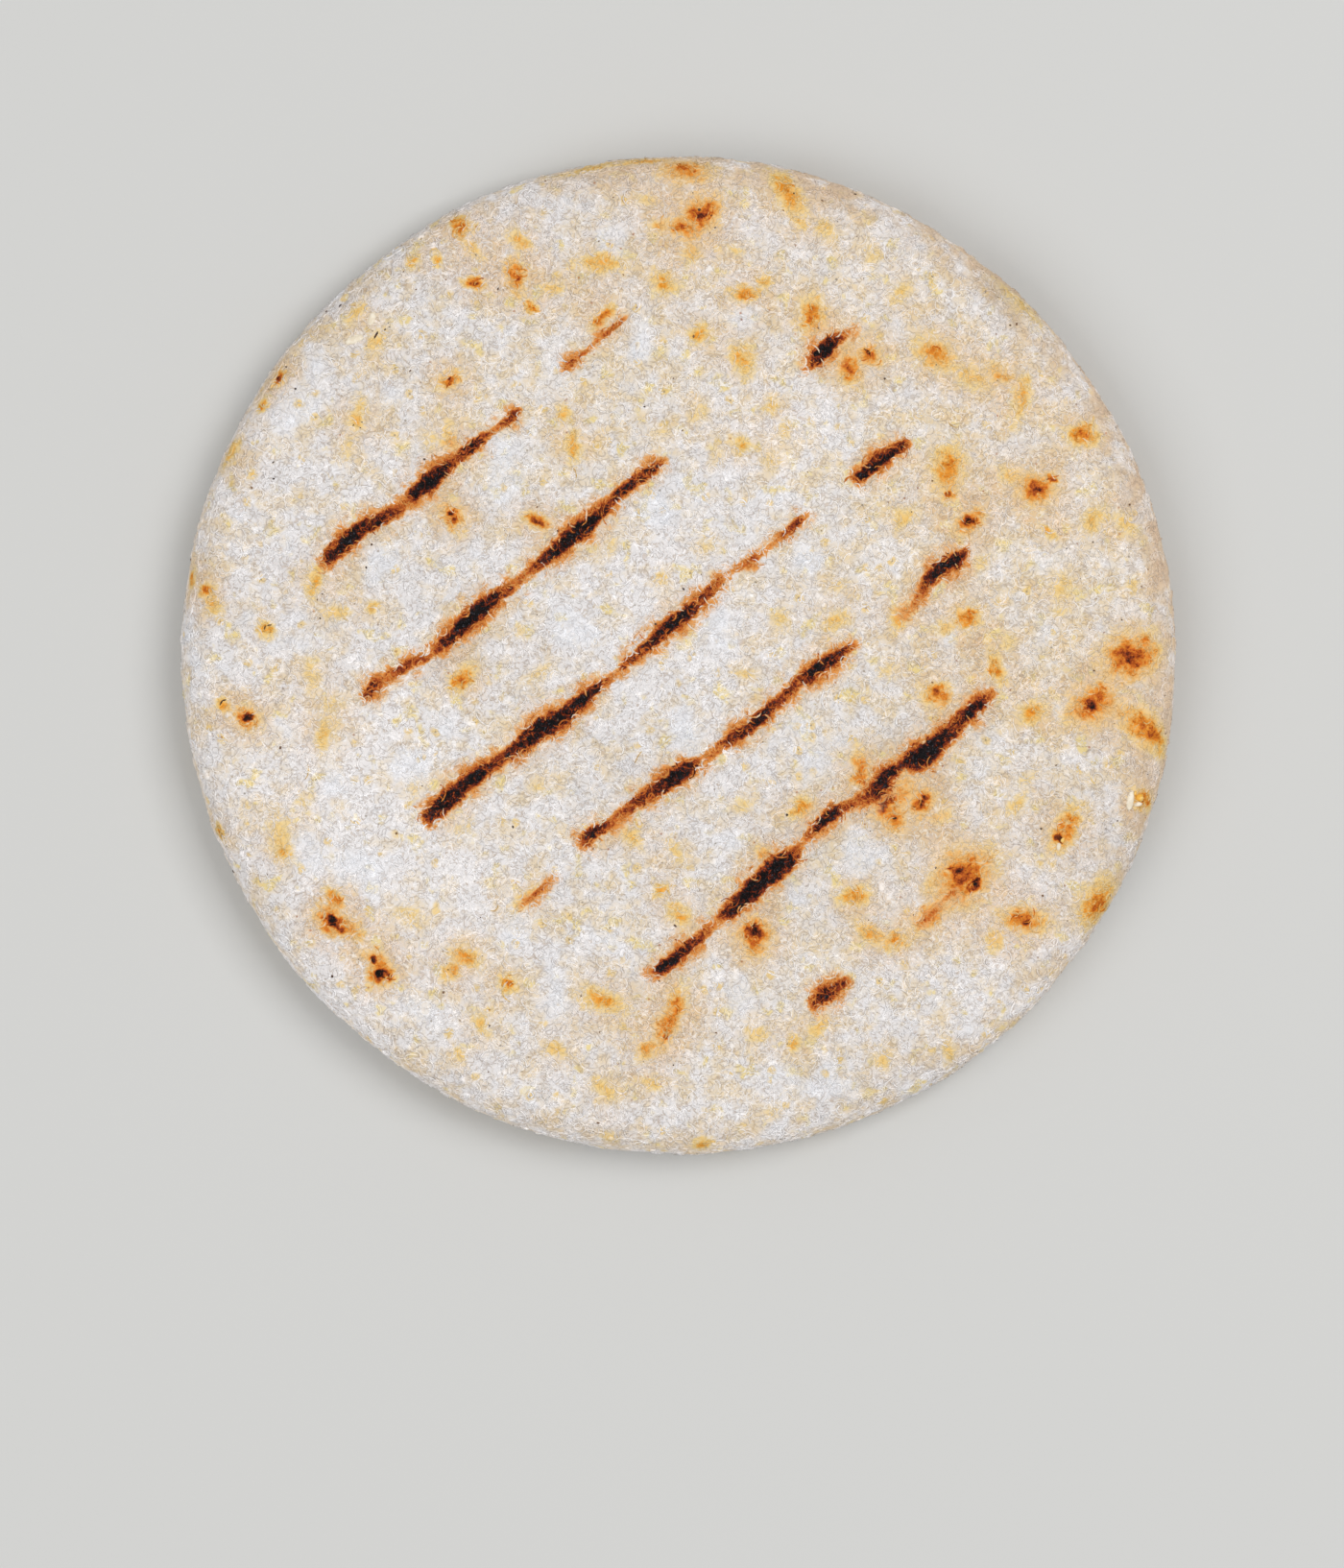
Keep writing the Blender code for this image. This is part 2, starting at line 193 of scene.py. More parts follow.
UPPER_RIGHT_BLOTCHES = (
    (13.1, 55.7, 2.8, 1.1, 117, 0.47), (14.7, 51.9, 0.9, 0.6, 145, 0.3),
    (17.6, 51.3, 1.4, 0.9, 135, 0.25), (2.5, 38.5, 1.1, 0.8, 57, 0.43),
    (7.7, 35.6, 1.5, 1, 125, 0.44), (8.1, 43.4, 1.3, 0.7, 176, 0.53),
    (10.6, 45, 0.7, 0.7, 0, 0.35), (6.7, 48.7, 0.9, 0.4, 148, 0.22),
    (16, 40.9, 1.6, 1.1, 80, 0.57), (22.8, 35.9, 1, 0.8, 0, 0.66), (22.7, 36.1, 0.4, 0.4, 0, 0.84),
    (20.6, 34.4, 1.5, 1, 100, 0.56), (20.4, 36.4, 3.1, 2.3, 90, 0.2),
    (30.9, 36.1, 2.1, 1.3, 151, 0.46), (30.6, 36.6, 0.7, 0.5, 0, 0.56),
    (35.2, 33.4, 2, 1.2, 150, 0.3), (38.3, 34, 1.8, 1.2, 167, 0.26), (39, 33.5, 0.9, 0.6, 0, 0.42),
    (41.3, 30.9, 2.2, 0.7, 81, 0.42), (26.6, 43.5, 1.3, 0.8, 32, 0.28),
    (23.3, 47.6, 1.6, 0.8, 89, 0.18), (11.1, 29.8, 0.8, 0.6, 57, 0.32),
    (7.5, 25.3, 0.8, 0.7, 129, 0.4), (2.3, 28.8, 1.1, 0.7, 50, 0.2),
    (32.5, 22.4, 2.2, 1.4, 83, 0.53), (32.5, 19.1, 0.6, 0.5, 0, 0.7),
    (34.9, 16, 1.3, 0.8, 30, 0.74), (34.8, 15.9, 0.7, 0.5, 40, 0.86),
    (43.1, 19.9, 1.6, 1.4, 0, 0.6), (43, 19.8, 0.8, 0.7, 0, 0.76),
    (44.9, 21.1, 0.5, 0.4, 130, 0.74), (40, 21.5, 1.6, 1, 150, 0.26),
    (44.4, 14.8, 0.9, 0.4, 128, 0.4), (48.7, 26.5, 1.4, 1, 2, 0.56), (49.7, 16, 1.4, 1, 65, 0.32),
    (53.6, 15.8, 1.5, 0.8, 134, 0.28), (46, 8, 1.8, 1.3, 110, 0.24),
    (27.1, 16.6, 1.4, 0.9, 23, 0.3), (34.8, 4.5, 1.3, 1, 25, 0.53), (27, 4.9, 1.5, 0.8, 49, 0.5),
    (19, 4.1, 1.5, 0.9, 32, 0.31), (12.4, 4.4, 1.3, 1.1, 86, 0.22),
    (41.2, 42.2, 4, 1.5, 135, 0.22), (54.6, 8.6, 0.8, 0.6, 30, 0.24), (24.4, 26, 1, 0.6, 80, 0.16),
    (12.9, 27.1, 1.1, 0.8, 60, 0.22), (11, 23.2, 1.2, 0.9, 110, 0.18),
    (24.8, -1.9, 1.1, 0.8, 30, 0.17), (39.5, 1.6, 1, 0.8, 60, 0.2),
    (36.3, 11.1, 1.2, 0.8, 40, 0.2), (45.8, 5.3, 1.1, 0.7, 0, 0.18),
    (32.1, 3.4, 1.2, 0.7, 20, 0.28), (41.8, -14.8, 1.2, 0.8, 30, 0.17),
    (31.5, -19.4, 1.2, 0.8, 20, 0.28), (3.4, 13.4, 1.6, 1, 20, 0.17),
    (4.5, 23.9, 1.1, 0.9, 0, 0.14), (-2.1, 26.7, 1.2, 0.7, 20, 0.16),
    (19, 8.2, 1.2, 0.9, 40, 0.18),
)
LOWER_LEFT_BLOTCHES = (
    (-25.9, -2.8, 1.3, 0.8, 49, 0.58), (-54.7, -6, 0.8, 0.7, 170, 0.44),
    (-52, -7.5, 1.2, 0.9, 162, 0.6), (-51.8, -7.4, 0.6, 0.5, 0, 1.05),
    (-41.5, -31.8, 1.4, 0.9, 134, 0.92), (-42.2, -32.9, 1, 0.5, 134, 0.52),
    (-41.2, -29.3, 1, 0.7, 130, 0.48), (-38.9, -33, 1.1, 0.8, 135, 0.44),
    (-36, -37.4, 1.7, 1, 121, 0.52), (-35.7, -38.3, 0.9, 0.7, 0, 1.1),
    (-36.4, -36.8, 0.6, 0.4, 120, 0.86), (-25.7, -36.2, 1.5, 0.9, 164, 0.47),
    (-27.3, -38, 1.1, 0.8, 42, 0.42), (-20.3, -39.5, 0.8, 0.7, 167, 0.6),
    (-9.1, -41.5, 2, 0.9, 161, 0.47), (-0.2, -42, 1.6, 0.8, 80, 0.55),
    (-1.4, -44.6, 2.4, 0.9, 65, 0.5), (-1.6, -45.8, 0.5, 0.3, 0, 0.8),
    (-3.7, -47.3, 1.1, 0.7, 55, 0.43), (-14.7, -47.3, 1.3, 0.7, 164, 0.3),
    (-23.6, -44.4, 1.1, 0.7, 122, 0.3), (-18.2, -29.2, 1.9, 0.6, 45, 0.34),
    (-32.3, -31.1, 1.8, 1.4, 140, 0.2), (-26.3, -47.9, 0.8, 0.5, 114, 0.26),
    (-8.7, -52.2, 1.7, 0.8, 146, 0.28), (-3.3, -51.5, 1, 0.6, 154, 0.3),
    (-8.4, -58, 1.1, 0.7, 142, 0.22), (-47.8, -21.7, 2.8, 1.1, 104, 0.24),
    (-47.4, -23.8, 0.8, 0.7, 60, 0.4), (-55.2, -21.4, 0.8, 0.6, 115, 0.52),
    (-43.9, -2.3, 2, 1, 95, 0.22), (-41.9, -8, 3.2, 1.2, 100, 0.15),
    (-41.5, -6, 1.6, 1.1, 47, 0.18), (-42.6, -9.6, 1.6, 0.7, 82, 0.3),
    (-45.2, -17.4, 1, 0.5, 107, 0.18), (-31.6, -16.1, 1.6, 1, 57, 0.14),
    (-25.7, -20.8, 1.4, 0.9, 38, 0.17), (-16.6, -2.2, 2, 0.9, 33, 0.18),
    (-19, 2.8, 0.9, 0.6, 64, 0.17), (-5.6, -21.9, 1.3, 0.7, 139, 0.33),
    (-2, -28.3, 0.7, 0.6, 15, 0.4), (0, -31, 1.3, 0.8, 124, 0.43),
    (-0.5, -23.3, 1.3, 0.7, 111, 0.25), (-16.9, -15.8, 0.9, 0.6, 172, 0.18),
)
LOWER_RIGHT_BLOTCHES = (
    (9.1, -34, 1.6, 1.3, 111, 0.6), (9.3, -33.4, 1.35, 1.1, 111, 0.85),
    (29.3, -17.7, 1.4, 0.9, 70, 0.62), (29.3, -17.6, 0.8, 0.5, 90, 0.9),
    (31.1, -4.6, 1.3, 1.1, 0, 0.62), (38.2, -1.7, 1.5, 0.7, 102, 0.48),
    (42.6, -6.9, 1.3, 0.9, 21, 0.46), (49.6, -6, 2.4, 1.6, 31, 0.58),
    (49.5, -6.1, 1.1, 0.8, 0, 0.82), (50.6, -4.2, 1.1, 0.8, 60, 0.48),
    (54.4, -0.2, 2.5, 1.9, 17, 0.66), (54, -0.3, 1.3, 1, 0, 0.74), (55.4, 0.4, 0.5, 0.4, 0, 0.7),
    (56.2, -9, 3.1, 1.3, 141, 0.58), (55.9, -17.4, 1.6, 0.8, 152, 0.54),
    (46.6, -20.9, 2.1, 1, 62, 0.55), (45.7, -22, 0.5, 0.4, 0, 0.94),
    (34.2, -26.6, 2.8, 2.1, 44, 0.65), (33.6, -25.8, 1.1, 0.8, 0, 0.8),
    (35.6, -27.5, 1, 0.8, 30, 0.92), (37, -24.9, 1.5, 0.6, 40, 0.38),
    (41.5, -31.9, 2.1, 1.1, 170, 0.6), (41.8, -32.1, 0.6, 0.5, 0, 0.78),
    (50.4, -30, 2.4, 1.8, 60, 0.56), (21.2, -28.9, 1.5, 0.8, 5, 0.46),
    (16.8, -44.8, 1.3, 0.8, 44, 0.31), (14.6, -18.3, 1.3, 0.8, 43, 0.48),
    (7.7, -18.2, 1.2, 0.7, 11, 0.2), (8, -2.2, 1.4, 0.5, 175, 0.2),
    (24.5, -48.6, 1, 0.8, 90, 0.28), (32.4, -47.8, 1.9, 0.7, 102, 0.24),
    (24.5, -53.7, 0.6, 0.5, 108, 0.32), (2.9, -58.8, 0.9, 0.8, 28, 0.42),
    (9.6, -45.6, 1.4, 0.7, 163, 0.25), (13.8, -46.5, 0.7, 0.6, 84, 0.4),
    (40.7, -17.9, 1.7, 0.9, 54, 0.25), (38, -34.3, 1.2, 0.8, 67, 0.32),
    (11.3, -55, 1.4, 0.9, 48, 0.14), (22, -13.1, 1.4, 0.8, 105, 0.48),
    (21.9, -14.7, 0.9, 0.7, 0, 0.58), (10.4, -24.1, 1.1, 0.6, 130, 0.36),
    (25.9, -19.3, 1.6, 1, 130, 0.52), (24.4, -17.5, 1.5, 1, 100, 0.86),
    (25.7, -17.3, 0.9, 0.7, 0, 0.66), (23, -33.4, 1.6, 0.8, 150, 0.4),
    (26.1, -34.2, 1.4, 0.9, 20, 0.43), (30.3, -31.3, 2, 0.9, 42, 0.6),
    (26.3, -16.8, 2.4, 1.5, 50, 0.42),
)
TOP_BLOTCHES = (
    UPPER_LEFT_BLOTCHES + UPPER_RIGHT_BLOTCHES + LOWER_LEFT_BLOTCHES + LOWER_RIGHT_BLOTCHES
)

# Bits that lie on the crust: (x, y, half length, half width, turn in degrees)
PALE_CHIPS = (
    (-38.9, 37.9, 0.95, 0.7, 20), (-36.8, 40.4, 0.8, 0.62, 70), (54.3, -17.4, 1.05, 0.5, 80),
    # (54.7, 9.4) is a painted highlight: a white chip put where a glint shows
    (55.2, -17.9, 0.62, 0.3, 5), (45.7, -23, 0.5, 0.34, 80), (54.7, 9.4, 0.34, 0.24, 40),
    (53.9, -18.3, 0.34, 0.24, 0),
)
GOLDEN_CHIPS = (
    (55.4, -17.1, 0.64, 0.52, 15), (46.2, -22.2, 0.32, 0.26, 50), (54.9, -16.6, 0.34, 0.26, 80),
)
DARK_TICKS = (
    (-36.3, 38.4, 0.52, 0.13, 60), (-37.4, 37.1, 0.12, 0.1, 0), (-34.8, 39.9, 0.1, 0.09, 0),
    (-34.7, 39.4, 0.1, 0.08, 0), (-36.7, 38.9, 0.09, 0.07, 0), (-40.6, 35.7, 0.12, 0.1, 0),
    (-35.2, 39.1, 0.16, 0.11, 30), (-49.7, 3.2, 0.4, 0.11, 65), (-49.1, 3.6, 0.24, 0.1, 10),
    (-54.9, -5.7, 0.34, 0.11, 62), (-54.5, -5.4, 0.24, 0.1, 15), (-39, 27.6, 0.13, 0.1, 40),
    (-38.2, 27.3, 0.1, 0.09, 0), (-38, 28, 0.1, 0.08, 0), (-47, 34.6, 0.26, 0.1, 150),
    (26, -19.6, 0.24, 0.14, 10),
)
# Stray fibres: (x, y, length, turn and bend in degrees)
FIBRES = (
    (-4.8, -12.2, 1.7, 60, 40), (-12.4, 22, 1.6, 110, 70), (20.5, -40, 1.8, 15, -60),
    (33, 27.6, 1.5, 150, 90), (-44.5, -14, 1.9, 80, -50), (-22, -30.5, 1.4, 35, 120),
)

# Broad tints of the top: (x, y, reach, creaminess), negative where the dough is whiter
TINTS = (
    (30, -14, 17, 0.48), (47, 10, 17, 0.66), (24, 18, 9, 0.5), (33, 28, 10, 0.45),
    (-4, 46, 13, 0.46), (-12, 56, 9, -0.45), (2, 54, 8, -0.8), (-14, 30, 9, 0.3),
    (28, 46, 10, 0.45), (44, -34, 10, 0.12), (-38, 34, 9, 0.15), (-20, -10, 8, 0.2),
    (12, 41, 8, 0.45), (13, -40, 8, 0.5), (-26, 32, 7, 0.35), (-12, 0, 8, -0.35),
    (-46, 14, 8, -0.2), (41, -29, 9, -0.98), (-54, 0, 8, -0.3), (0, 4, 14, -0.75),
    (-36, -22, 13, -0.85), (8, 24, 11, -0.4), (-30, 4, 10, -0.3), (-2, -12, 12, -0.35),
    (-44, 14, 13, -0.3), (-25, 51, 8, -0.95), (-39, -40, 9, -0.55), (-8, 27, 9, 0.45),
    (1, 27, 7, 0.65), (-38, -38, 6, -0.3), (48, -2, 8, 0.4), (-39, 13, 7, 0.4), (13, 13, 6, 0.65),
    (-13, -14, 6, 0.4), (13, -13, 5, -0.25), (18, -28, 9, 0.1), (2, 20, 6, -0.6), (36, 2, 9, 0.3),
)

# Broad patches where the top is made darker: (x, y, reach, share of the light), negative if
# lighter
DUSKY = (
    (55, 4, 10, 0.015), (54, -18, 10, 0.045), (27, -13, 7, 0.06), (13, -26, 7, 0.06),
    (-26, 1, 6, 0.05), (40, -27, 8, 0.01), (-40, -40, 9, -0.05), (-32, 46, 10, 0.04),
    (-39, -12, 12, -0.055), (-27, -27, 8, -0.04), (13, 25, 6, -0.06), (0, 6, 9, -0.025),
    (30, -50, 9, 0.03), (-50, 6, 15, 0.016), (20, -53, 9, 0.024), (38, 14, 9, -0.022),
    # (40.5, 43) here and (38, 45.5) below are painted shade, where the rim curves down
    (40.5, 43, 3.2, 0.13), (54, -26, 6, 0.055), (-41, 38, 6, 0.045), (-7, -13, 8, 0.035),
    (38, 45.5, 2.4, 0.08), (-12, 54, 8, 0.04),
)

# Smooth, bluish white patches of starch, where few threads lie: (x, y, reach)
FROST_PATCHES = (
    (-28.9, -9.3, 2.2), (-35.9, 9.9, 2.4), (-33.1, -13.9, 2.8), (-12.1, 3.7, 2), (-2.5, 17.5, 2.6),
    (4.9, 4.6, 1.6), (5.2, 1.8, 1.5), (14.5, -8.3, 1.6), (-18.6, -4.2, 2), (15.2, 11.5, 2.2),
    (17, -13.4, 2), (4.9, -22.8, 2.8), (7.7, -42.2, 2.4), (-43.3, -23.3, 3.2), (-28.5, -29.8, 2.2),
    (-38.2, -26.2, 2.4), (22, -22.8, 2.8), (37.2, -45, 2.6), (21.1, -53.8, 2.2),
    (52.6, -22.4, 1.5), (-42.4, 34.9, 3.2), (-46.2, 29.6, 2.4), (-4.8, 36.8, 2.4), (11.4, 46.9, 2),
    (27.8, 50.1, 1.5), (22, 29.4, 2.2), (45.1, 11.5, 2), (-21.5, 21, 2.4), (-8.6, -33.5, 2.6),
    (-46.5, 5.4, 2.2), (0.6, -9.8, 2.4), (-9, 55.2, 1.8), (33.6, -3.4, 1.6), (-31.5, 24.6, 2),
    (10.8, -50.2, 2),
)

# The rim is tanned all round and more on one side. Its tan, and the painted light that lifts its
# edge against the shade of the rounding, reach in by these shares of the radius.
RIM_TAN_TURN = math.radians(35.0)
RIM_TAN = 0.40
RIM_TAN_MORE = 1.10
RIM_SHARE = 0.10
PAINTED_LIGHT_EDGE_SHARE = 0.045

# Heights up to which the underside's blotches and its look reach, and from which the top does
BASE_UP_TO = 0.45 * WIDEST_AT
UNDER_HEIGHT = 2.2
TOP_FROM = 7.0
TOP_FULLY_AFTER = 1.5
BASE_TINT = 0.3
BASE_DUSK = 0.03

# Where frost begins on the sum of its patches and its noise, and how soon it is full
FROST_FROM = 0.30
FROST_RANGE = 0.70

# How finely the crust is divided
TOP_RINGS = 136
BASE_RINGS = 68
EDGE_ROWS_ABOVE = 16
EDGE_ROWS_BELOW = 12
EDGE_SAMPLES = 90

# A blotch reaches this many half sizes, and is kept this far from others in its layer
BLOTCH_REACH = 2.5
BLOTCH_SPACING = 0.6
BLOTCH_LAYERS = 6

# How warm the crust is around a blotch and a bar: how far, and how much for their heat. A blotch
# shorter than one half length warms less.
WARM_SKIRT = 2.0
BLOTCH_WARMTH = 1.25
WARMEST = 0.95
WARM_LENGTH = 1.2
BAR_SKIRT = 3.2
BAR_WARMTH = 0.8

# A scorch's width in its spreads, more where it is cool, how much its ends are drawn in and how
# wide they stay, where its halo starts and how it dies away, and where the scorch ends
SCORCH_WIDTH = 1.06
COOL_WIDENING = 0.16
BLUNTNESS = 0.40
BLUNT_SPREAD = 0.8
BLUNT_FROM_HEAT = 0.3
HALO_START = 1.2
HALO_FADE = 0.82
SCORCH_REACH = 4.5

# The underside's scorch: how far apart a touch's marks are and how its ends fade, its strong and
# weak heats, how far it strays, and how wide it is where cold and the more per heat
TOUCH_STEP = 2.6
TOUCH_FADE = 1.2
STRONG_HEATS, WEAK_HEATS = (0.45, 1.0), (0.2, 0.4)
STRONG_SHARE = 0.8
TOUCH_STRAY = 0.25
TOUCH_END_SPREAD = 0.3
TOUCH_SPREAD, SPREAD_PER_HEAT = 0.35, 0.45

# The underside's blotches, of which many hot ones have a core: half length, half width, turn, heat
BASE_BLOTCHES = 150
BASE_BLOTCH_RADIUS = 57.5
BASE_HALF_LENGTHS = (0.7, 2.4)
BASE_NARROWNESS = (0.5, 0.9)
BASE_HEATS = (0.25, 0.35, 0.5, 0.6, 0.7)
CORED_FROM_HEAT = 0.55
CORED_SHARE = 0.5
BASE_CORE = (0.5, 0.4, 0.0, 0.9)

SEED = 20
FAR = 9.0


# The form of the crust, and what each of its points is told about the griddle


def smooth_step(value):
    value = np.clip(value, 0.0, 1.0)
    return value * value * (3.0 - 2.0 * value)


def lumps(places, octaves):
    """The sum of smooth noises, each from about -0.6 to 0.6 times its height."""
    total = np.zeros(len(places))
    for length, height, shift in octaves:
        points = places / length + (0.0, 0.0, shift)
        total += height * np.array([noise.noise(Vector(point)) for point in points])
    return total


def grains(places, size, shift):
    """Rounded grains packed side by side: 1 at the middle of each, 0 between them."""
    tops = []
    for x, y, z in places / size:
        nearest = noise.voronoi(Vector((x, y, z + shift)))[0]
        tops.append(1.0 - (nearest[0] / max(nearest[1], 1e-4)) ** 2)
    return np.array(tops)


def turns(count):
    """This many directions, evenly spread round the cake."""
    return math.tau * np.arange(count) / count


def outline(turn):
    """The cake's radius in these directions."""
    radius = np.full(len(turn), DIAMETER / 2)
    for count, depth, phase in OUTLINE_WAVES:
        radius += depth * np.cos(count * turn - phase)
    return radius


def on_plan(radius, turn):
    return np.stack([radius * np.cos(turn), radius * np.sin(turn), np.zeros(len(turn))], axis=1)


def bar_axes(places, angle):
    """Each place's run along the bars, and its distance across them from the middle."""
    run = places[:, 0] * math.cos(angle) + places[:, 1] * math.sin(angle)
    across = places[:, 1] * math.cos(angle) - places[:, 0] * math.sin(angle)
    return run, across


def blunted(marks):
    """A bar's marks as columns, with the cold ends of each scorch drawn in to make it blunt."""
    runs, sideways, spreads, heats = np.array(marks).T
    for here in range(len(marks)):
        for beside in (here - 1, here + 1):
            if heats[here] > 0.0 or not 0 <= beside < len(marks):
                continue
            if heats[beside] > BLUNT_FROM_HEAT:
                runs[here] += BLUNTNESS * (runs[beside] - runs[here])
                spreads[here] = BLUNT_SPREAD * spreads[beside]
    return runs, sideways, spreads, heats


def scorch(places, angle, first, bars):
    """Where each place lies across the nearest scorch: in spreads, and in millimetres.

    Between them comes the heat there, and last the fainter heat that reaches past the scorch.
    """
    run, across = bar_axes(places, angle)
    side = gap = np.full(len(places), FAR)
    heat = skirt = np.zeros(len(places))
    for number, marks in enumerate(bars):
        runs, sideways, spreads, heats = blunted(marks)
        distance = across - (first - number * BAR_PITCH) - np.interp(run, runs, sideways)
        coolness = 1.0 - np.interp(run, runs, heats)
        spread = np.interp(run, runs, spreads) * (SCORCH_WIDTH + COOL_WIDENING * coolness)
        nearer = np.abs(distance / spread) < np.abs(side)
        side = np.where(nearer, distance / spread, side)
        gap = np.where(nearer, distance, gap)
        heat = np.where(nearer, np.interp(run, runs, heats, left=0.0, right=0.0), heat)
        beyond = np.maximum(np.abs(distance) - HALO_START * spread, 0.0)
        halo = np.interp(run, runs, heats) ** 0.5 * np.exp(-beyond / HALO_FADE)
        skirt = np.maximum(skirt, halo)
    heat[np.abs(side) > SCORCH_REACH] = 0.0
    return side, heat, gap, skirt


def base_scorch():
    """The underside's scorch: each touch heats up from its ends, and flickers along its length."""
    draw = np.random.default_rng(SEED + 1)
    bars = []
    for touches in BASE_TOUCHES:
        marks = []
        for start, end in touches:
            steps = max(3, round((end - start) / TOUCH_STEP))
            marks.append((start - TOUCH_FADE, 0.0, TOUCH_END_SPREAD, 0.0))
            for step in range(steps + 1):
                run = start + (end - start) * step / steps
                heats = STRONG_HEATS if draw.random() < STRONG_SHARE else WEAK_HEATS
                heat = draw.uniform(*heats)
                spread = TOUCH_SPREAD + SPREAD_PER_HEAT * heat
                marks.append((run, draw.normal(0.0, TOUCH_STRAY), spread, heat))
            marks.append((end + TOUCH_FADE, 0.0, TOUCH_END_SPREAD, 0.0))
        bars.append(tuple(marks))
    return tuple(bars)


def reach_towards(mark, x, y):
    """How far a blotch's outline lies from its middle, on the way to this place."""
    _, _, long, short, turn, _ = mark
    way = math.atan2(y - mark[1], x - mark[0]) - math.radians(turn)
    return 1.0 / math.hypot(math.cos(way) / long, math.sin(way) / short)


def in_layers(marks):
    """Deals the blotches out, so that no two in one layer come near each other."""
    layers = [[] for _ in range(BLOTCH_LAYERS)]
    for mark in sorted(marks, key=lambda mark: -mark[2]):
        for layer in layers:
            spare = min(
                (math.hypot(mark[0] - other[0], mark[1] - other[1])
                 - BLOTCH_REACH * reach_towards(mark, other[0], other[1])
                 - BLOTCH_REACH * reach_towards(other, mark[0], mark[1]) for other in layer),
                default=FAR,
            )
            if spare > BLOTCH_SPACING:
                layer.append(mark)
                break
        else:
            print("no layer is free for the blotch", mark)
    return layers


def blotches(places, marks):
    """Fields that say where each place lies in the blotch it belongs to, and the warmth around.

    A place's two coordinates are in half sizes of its blotch, so its outline is at 1.
    """
    fields = {}
    coolness = np.ones(len(places))
    for number, layer in enumerate(in_layers(marks)):
        u = v = np.full(len(places), FAR)
        heat, fray = np.zeros(len(places)), np.ones(len(places))
        for mark_x, mark_y, long, short, turn, mark_heat in layer:
            dx, dy = places[:, 0] - mark_x, places[:, 1] - mark_y
            c, s = math.cos(math.radians(turn)), math.sin(math.radians(turn))
            mark_u, mark_v = (dx * c + dy * s) / long, (dy * c - dx * s) / short
            nearer = np.hypot(mark_u, mark_v) < np.hypot(u, v)
            u, v = np.where(nearer, mark_u, u), np.where(nearer, mark_v, v)
            heat = np.where(nearer, mark_heat, heat)
            fray = np.where(nearer, (long * short) ** -0.25, fray)
            wide = WARM_SKIRT + long
            warmth = min(BLOTCH_WARMTH * mark_heat, WARMEST) * min(long / WARM_LENGTH, 1.0)
            coolness *= 1.0 - warmth * np.exp(-(dx * dx + dy * dy) / wide**2)
        heat[np.hypot(u, v) > BLOTCH_REACH] = 0.0
        for field, values in (("u", u), ("v", v), ("heat", heat), ("fray", fray)):
            fields[f"blotch_{field}{number}"] = values
    fields["warmth"] = 1.0 - coolness
    return fields


def patchwork(places, patches):
    """The sum of soft round patches: (x, y, reach, amount)."""
    total = np.zeros(len(places))
    for x, y, reach, amount in patches:
        distance = np.hypot(places[:, 0] - x, places[:, 1] - y)
        total += amount * np.exp(-((distance / reach) ** 2))
    return total


def base_blotches():
    """The underside's toasted blotches, some with a hot middle."""
    draw = np.random.default_rng(SEED + 2)
    marks = []
    while len(marks) < BASE_BLOTCHES:
        radius, way = BASE_BLOTCH_RADIUS * math.sqrt(draw.random()), draw.uniform(0.0, math.tau)
        x, y = radius * math.cos(way), radius * math.sin(way)
        long = draw.uniform(*BASE_HALF_LENGTHS)
        heat = draw.choice(BASE_HEATS)
        short, turn = long * draw.uniform(*BASE_NARROWNESS), draw.uniform(0.0, 180.0)
        marks.append((x, y, long, short, turn, heat))
        if heat > CORED_FROM_HEAT and draw.random() < CORED_SHARE:
            marks.append((x, y, *BASE_CORE))
    return marks


def groove(gap, heat):
    """How deep a bar has sunk in at this gap from its middle, less where it is cooler."""
    depth = GROOVE_DEPTH * smooth_step(GROOVE_HEAT_GAIN * heat)
    return depth * np.exp(-((gap / GROOVE_REACH * GROOVE_SLOPE) ** 2))


def top_height(places, depth):
    reach = np.hypot(places[:, 0], places[:, 1]) / (DIAMETER / 2)
    return THICKNESS - DOME * reach**2 + lumps(places, TOP_SWELLS) - depth


def edge_row(turn, share, rounding, face_height):
    """One row round the edge: share runs from 0 at the face to 1 at the widest place."""
    angle = share * math.pi / 2
    outward = math.sin(angle) ** (2.0 / EDGE_SQUARENESS)
    upward = math.cos(angle) ** (2.0 / EDGE_SQUARENESS)
    row = on_plan(outline(turn) - rounding * (1.0 - outward), turn)
    row[:, 2] = WIDEST_AT + (face_height - WIDEST_AT) * upward
    row += on_plan(lumps(row, EDGE_LUMPS) * outward, turn)
    return row


def disc(rings, rounding):
    """Points of a sheet in rings of 6, 12, 18 and so on, and its triangles, facing up."""
    places = [np.zeros((1, 3))]
    starts = [0]
    for ring in range(1, rings + 1):
        starts.append(starts[-1] + max(1, 6 * (ring - 1)))
        turn = turns(6 * ring)
        places.append(on_plan((outline(turn) - rounding) * ring / rings, turn))
    triangles = []
    for ring in range(1, rings + 1):
        inner_count = max(1, 6 * (ring - 1))
        for sector in range(6):
            step = np.arange(ring)
            outer = starts[ring] + (sector * ring + step) % (6 * ring)
            after = starts[ring] + (sector * ring + step + 1) % (6 * ring)
            inner = starts[ring - 1] + (sector * (ring - 1) + step) % inner_count
            triangles.append(np.stack([outer, after, inner], axis=1))
            step = step[:-1]
            beyond = starts[ring - 1] + (sector * (ring - 1) + step + 1) % inner_count
            triangles.append(np.stack([after[:-1], beyond, inner[:-1]], axis=1))
    return np.concatenate(places), np.concatenate(triangles), starts[-1]


